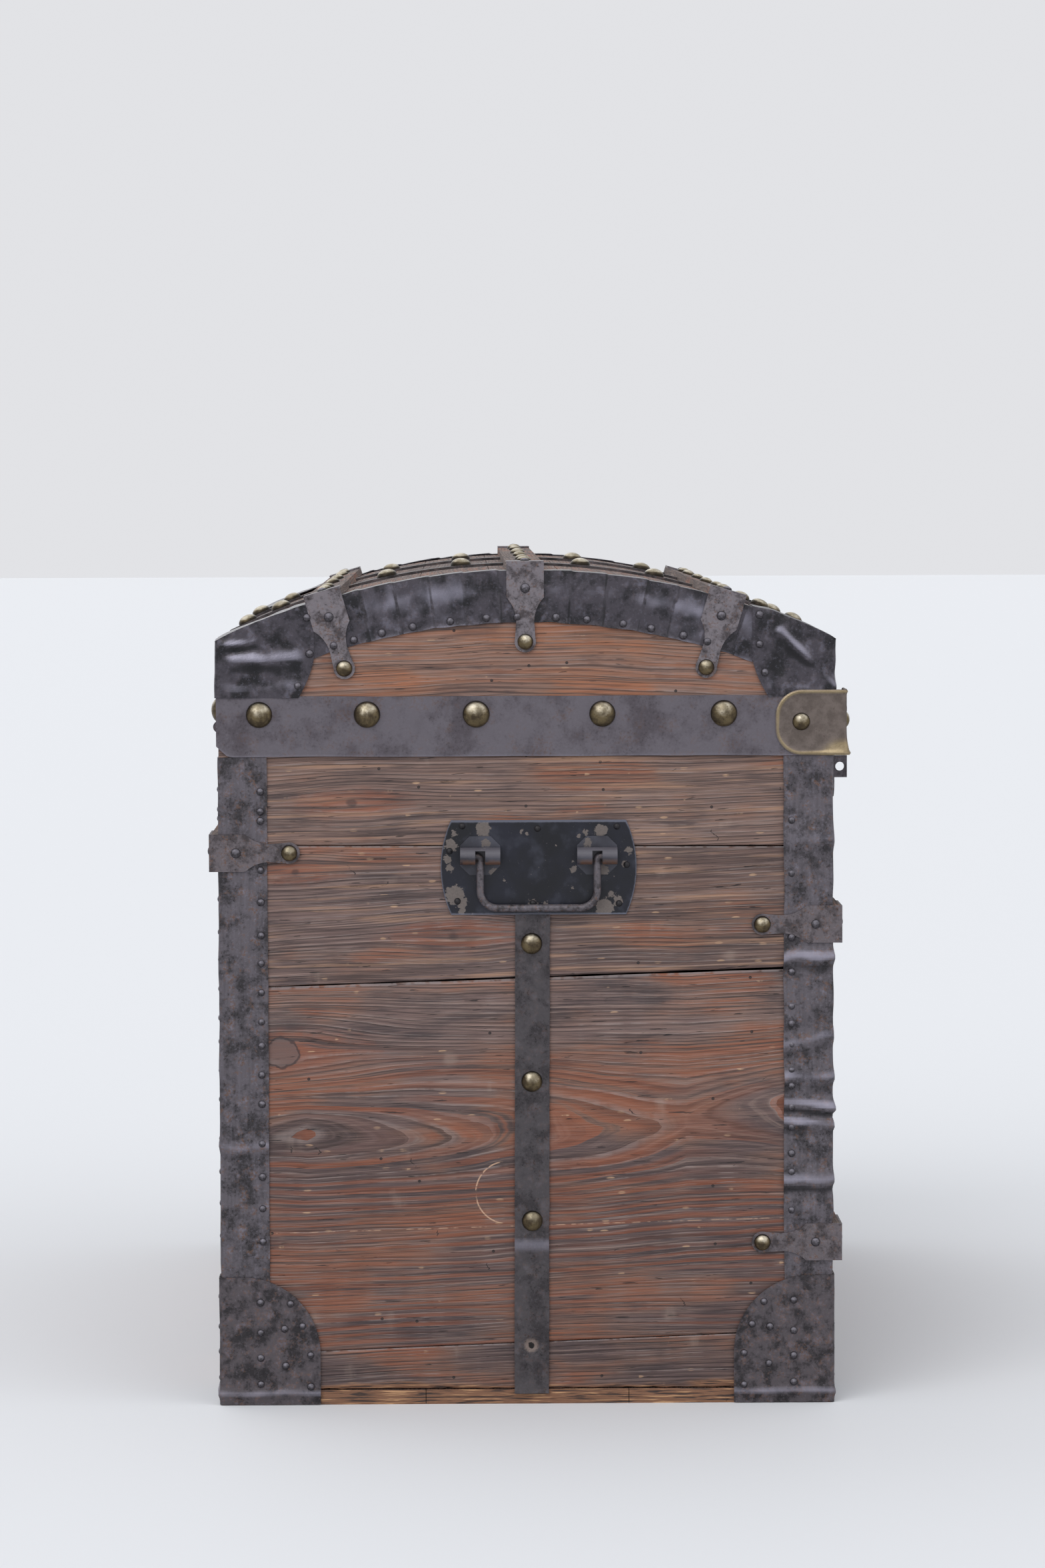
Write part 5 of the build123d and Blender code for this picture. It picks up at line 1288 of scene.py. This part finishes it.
# the lid's clamps are a paler copy of the body's clamps: painted light, where they face the sky
sky_lit_lid_clamp_skin = iron("sky_lit_lid_clamp_skin", ((68, 62, 65), (114, 108, 113), (132, 126, 133)), 0.44,
                      0.6, 1.8, uneven=0.8)
slat_wood = Finish("slat_wood")
slat_rise = slat_wood.z + slat_wood.y
slat_ground = slat_wood.mix(slat_wood.cloud(slat_wood.place, 0.02), tone(80, 68, 64),
                            tone(104, 88, 80))
slat_grain = slat_wood.done(*pine(slat_wood.x, slat_rise, slat_rise, slat_wood.z * 0.0,
                                  slat_wood.z * 0.0, slat_ground, seed=74.0), grain_depth)
dress(hoop_skin, "lid_hoops")
dress(clamp_skin, "body_slat_clamps")
dress(sky_lit_lid_clamp_skin, "lid_slat_clamps")
dress(slat_grain, "front_slat_upper", "front_slat_lower", "back_slat", "lid_slat_front",
      "lid_slat_middle", "lid_slat_back")


# The handles: a stamped plate in black enamel, chipped to bare metal round its rivets and
# corners, two riveted loops with rolled barrels, and a wire bail that swings in them.
def enamel(name, chips, edge_line, rust_below=None, base=((1, 2, 12), (15, 17, 32))):
    """Worn black enamel over taupe metal."""
    finish = Finish(name)
    place = finish.place
    gloss = finish.cloud(place, 0.03, 4.0)
    ragged = (finish.cloud(place, 0.42, 3.0, 0.6) - 0.5) * 8
    dust = finish.cloud(place, 0.8, 3.0, 0.6)
    haze = finish.cloud(place, 0.06, 3.0)
    body = finish.coats(tone(*base[0]), (gloss.ramp(0.35, 0.65), base[1]),
                        (haze.ramp(0.52, 0.72) * 0.25, (74, 76, 88)))
    bare = finish.cloud(place, 0.16, 3.0).ramp(0.70, 0.73)
    for y, z, radius in chips:
        reach, up = finish.y - y, finish.z - z
        bare = bare.most(((reach * reach + up * up) ** 0.5 + ragged - radius).ramp(0.6, -0.3))
    body = finish.mix(bare * 0.85, body, finish.mix(dust, tone(90, 82, 80), tone(122, 112, 106)))
    if edge_line:
        middle_y, middle_z, half_y, half_z, bow = edge_line
        rise = finish.z - middle_z
        up = rise.size()
        reach = (finish.y - middle_y).size()
        side = half_y + bow - (up / half_z) * (up / half_z) * bow
        near_edge = (side - reach + 0.6).least(half_z - up)
        near_edge = near_edge - rise.ramp(half_z - 6, half_z) * 0.7
        near_edge = (near_edge + ragged * 0.12).ramp(1.8, 0.4)
        body = finish.coats(body, (near_edge * 0.7, (104, 106, 120)))
    if rust_below is not None:
        height = finish.z + ragged * 0.2
        barrel = finish.x.size().ramp(403.6, 404.4)
        grey = height.ramp(rust_below, rust_below + 3.0) * barrel
        rusty = height.ramp(rust_below + 1.0, rust_below - 3.0) * barrel
        rusty = rusty * finish.cloud(place, 0.2).ramp(0.3, 0.55)
        body = finish.coats(body, (grey * 0.7, (92, 89, 96)), (rusty * 0.9, (92, 66, 52)))
    body = finish.coats(body, (dust.ramp(0.68, 0.76) * 0.4, (112, 108, 108)))
    roughness = 0.34 + gloss * 0.12 + bare * 0.28
    return finish.done(body, roughness, gloss * 1.0 + dust * 0.1 - bare * 0.25, 0.3, 0.0,
                       {"Coat Weight": 0.1, "Coat Roughness": 0.2, "Specular IOR Level": 0.35})


plate_chips = ((32, 434, 5.5), (-56, 433, 4.5), (-45, 432, 2), (56, 422, 4.5), (59, 412, 2.5),
               (54, 431, 2), (57, 405, 2.5), (53, 385, 7), (48, 379, 4), (48, 373, 2.5),
               (-59, 375, 6.5), (-69, 380, 3.5), (-64, 385, 2.5), (-77, 418, 2.5),
               (-74, 408, 1.6), (-36, 404, 2), (-5, 379, 2.6), (-14, 379, 1.5), (3, 433, 1.2),
               (-1, 431, 1.2))
plate_enamel = enamel("plate_enamel", plate_chips, (-9.5, 405.5, 65.5, 35.5, 7.8))
loop_enamel = enamel("loop_enamel", ((30, 424, 3), (-46, 424, 3), (24, 402, 3), (-58, 403, 4)),
                     None, 412.5, ((34, 34, 42), (66, 66, 76)))
dress(plate_enamel, "near_handle_plate", "far_handle_plate")
dress(loop_enamel, "near_handle_loops", "far_handle_loops")
bail_skin = iron("bail_skin", ((60, 56, 59), (92, 87, 92), (122, 118, 128)), 0.42, 0.6, 3.0)
dress(bail_skin, "near_bail", "far_bail")
dress(pin_skin, "handle_rivets")


# Hinges, lock, hasps and catches: dark steel, oiled and dull, screwed on; the lock's case and
# hasp are brass like the nails.
steel = iron("fitting_steel", gloss=0.40, scale=1.6)
dress(steel, "hinge_body_leaves", "hinge_lid_leaves", "hinge_pins", "lock_bolt", "hasp_pins",
      "catch_keepers", "hasp_leaves", "near_catch", "far_catch", "body_screws", "lid_screws")
lock_brass = brass("lock_brass", True)
dress(lock_brass, "lock_case", "lock_hasp")
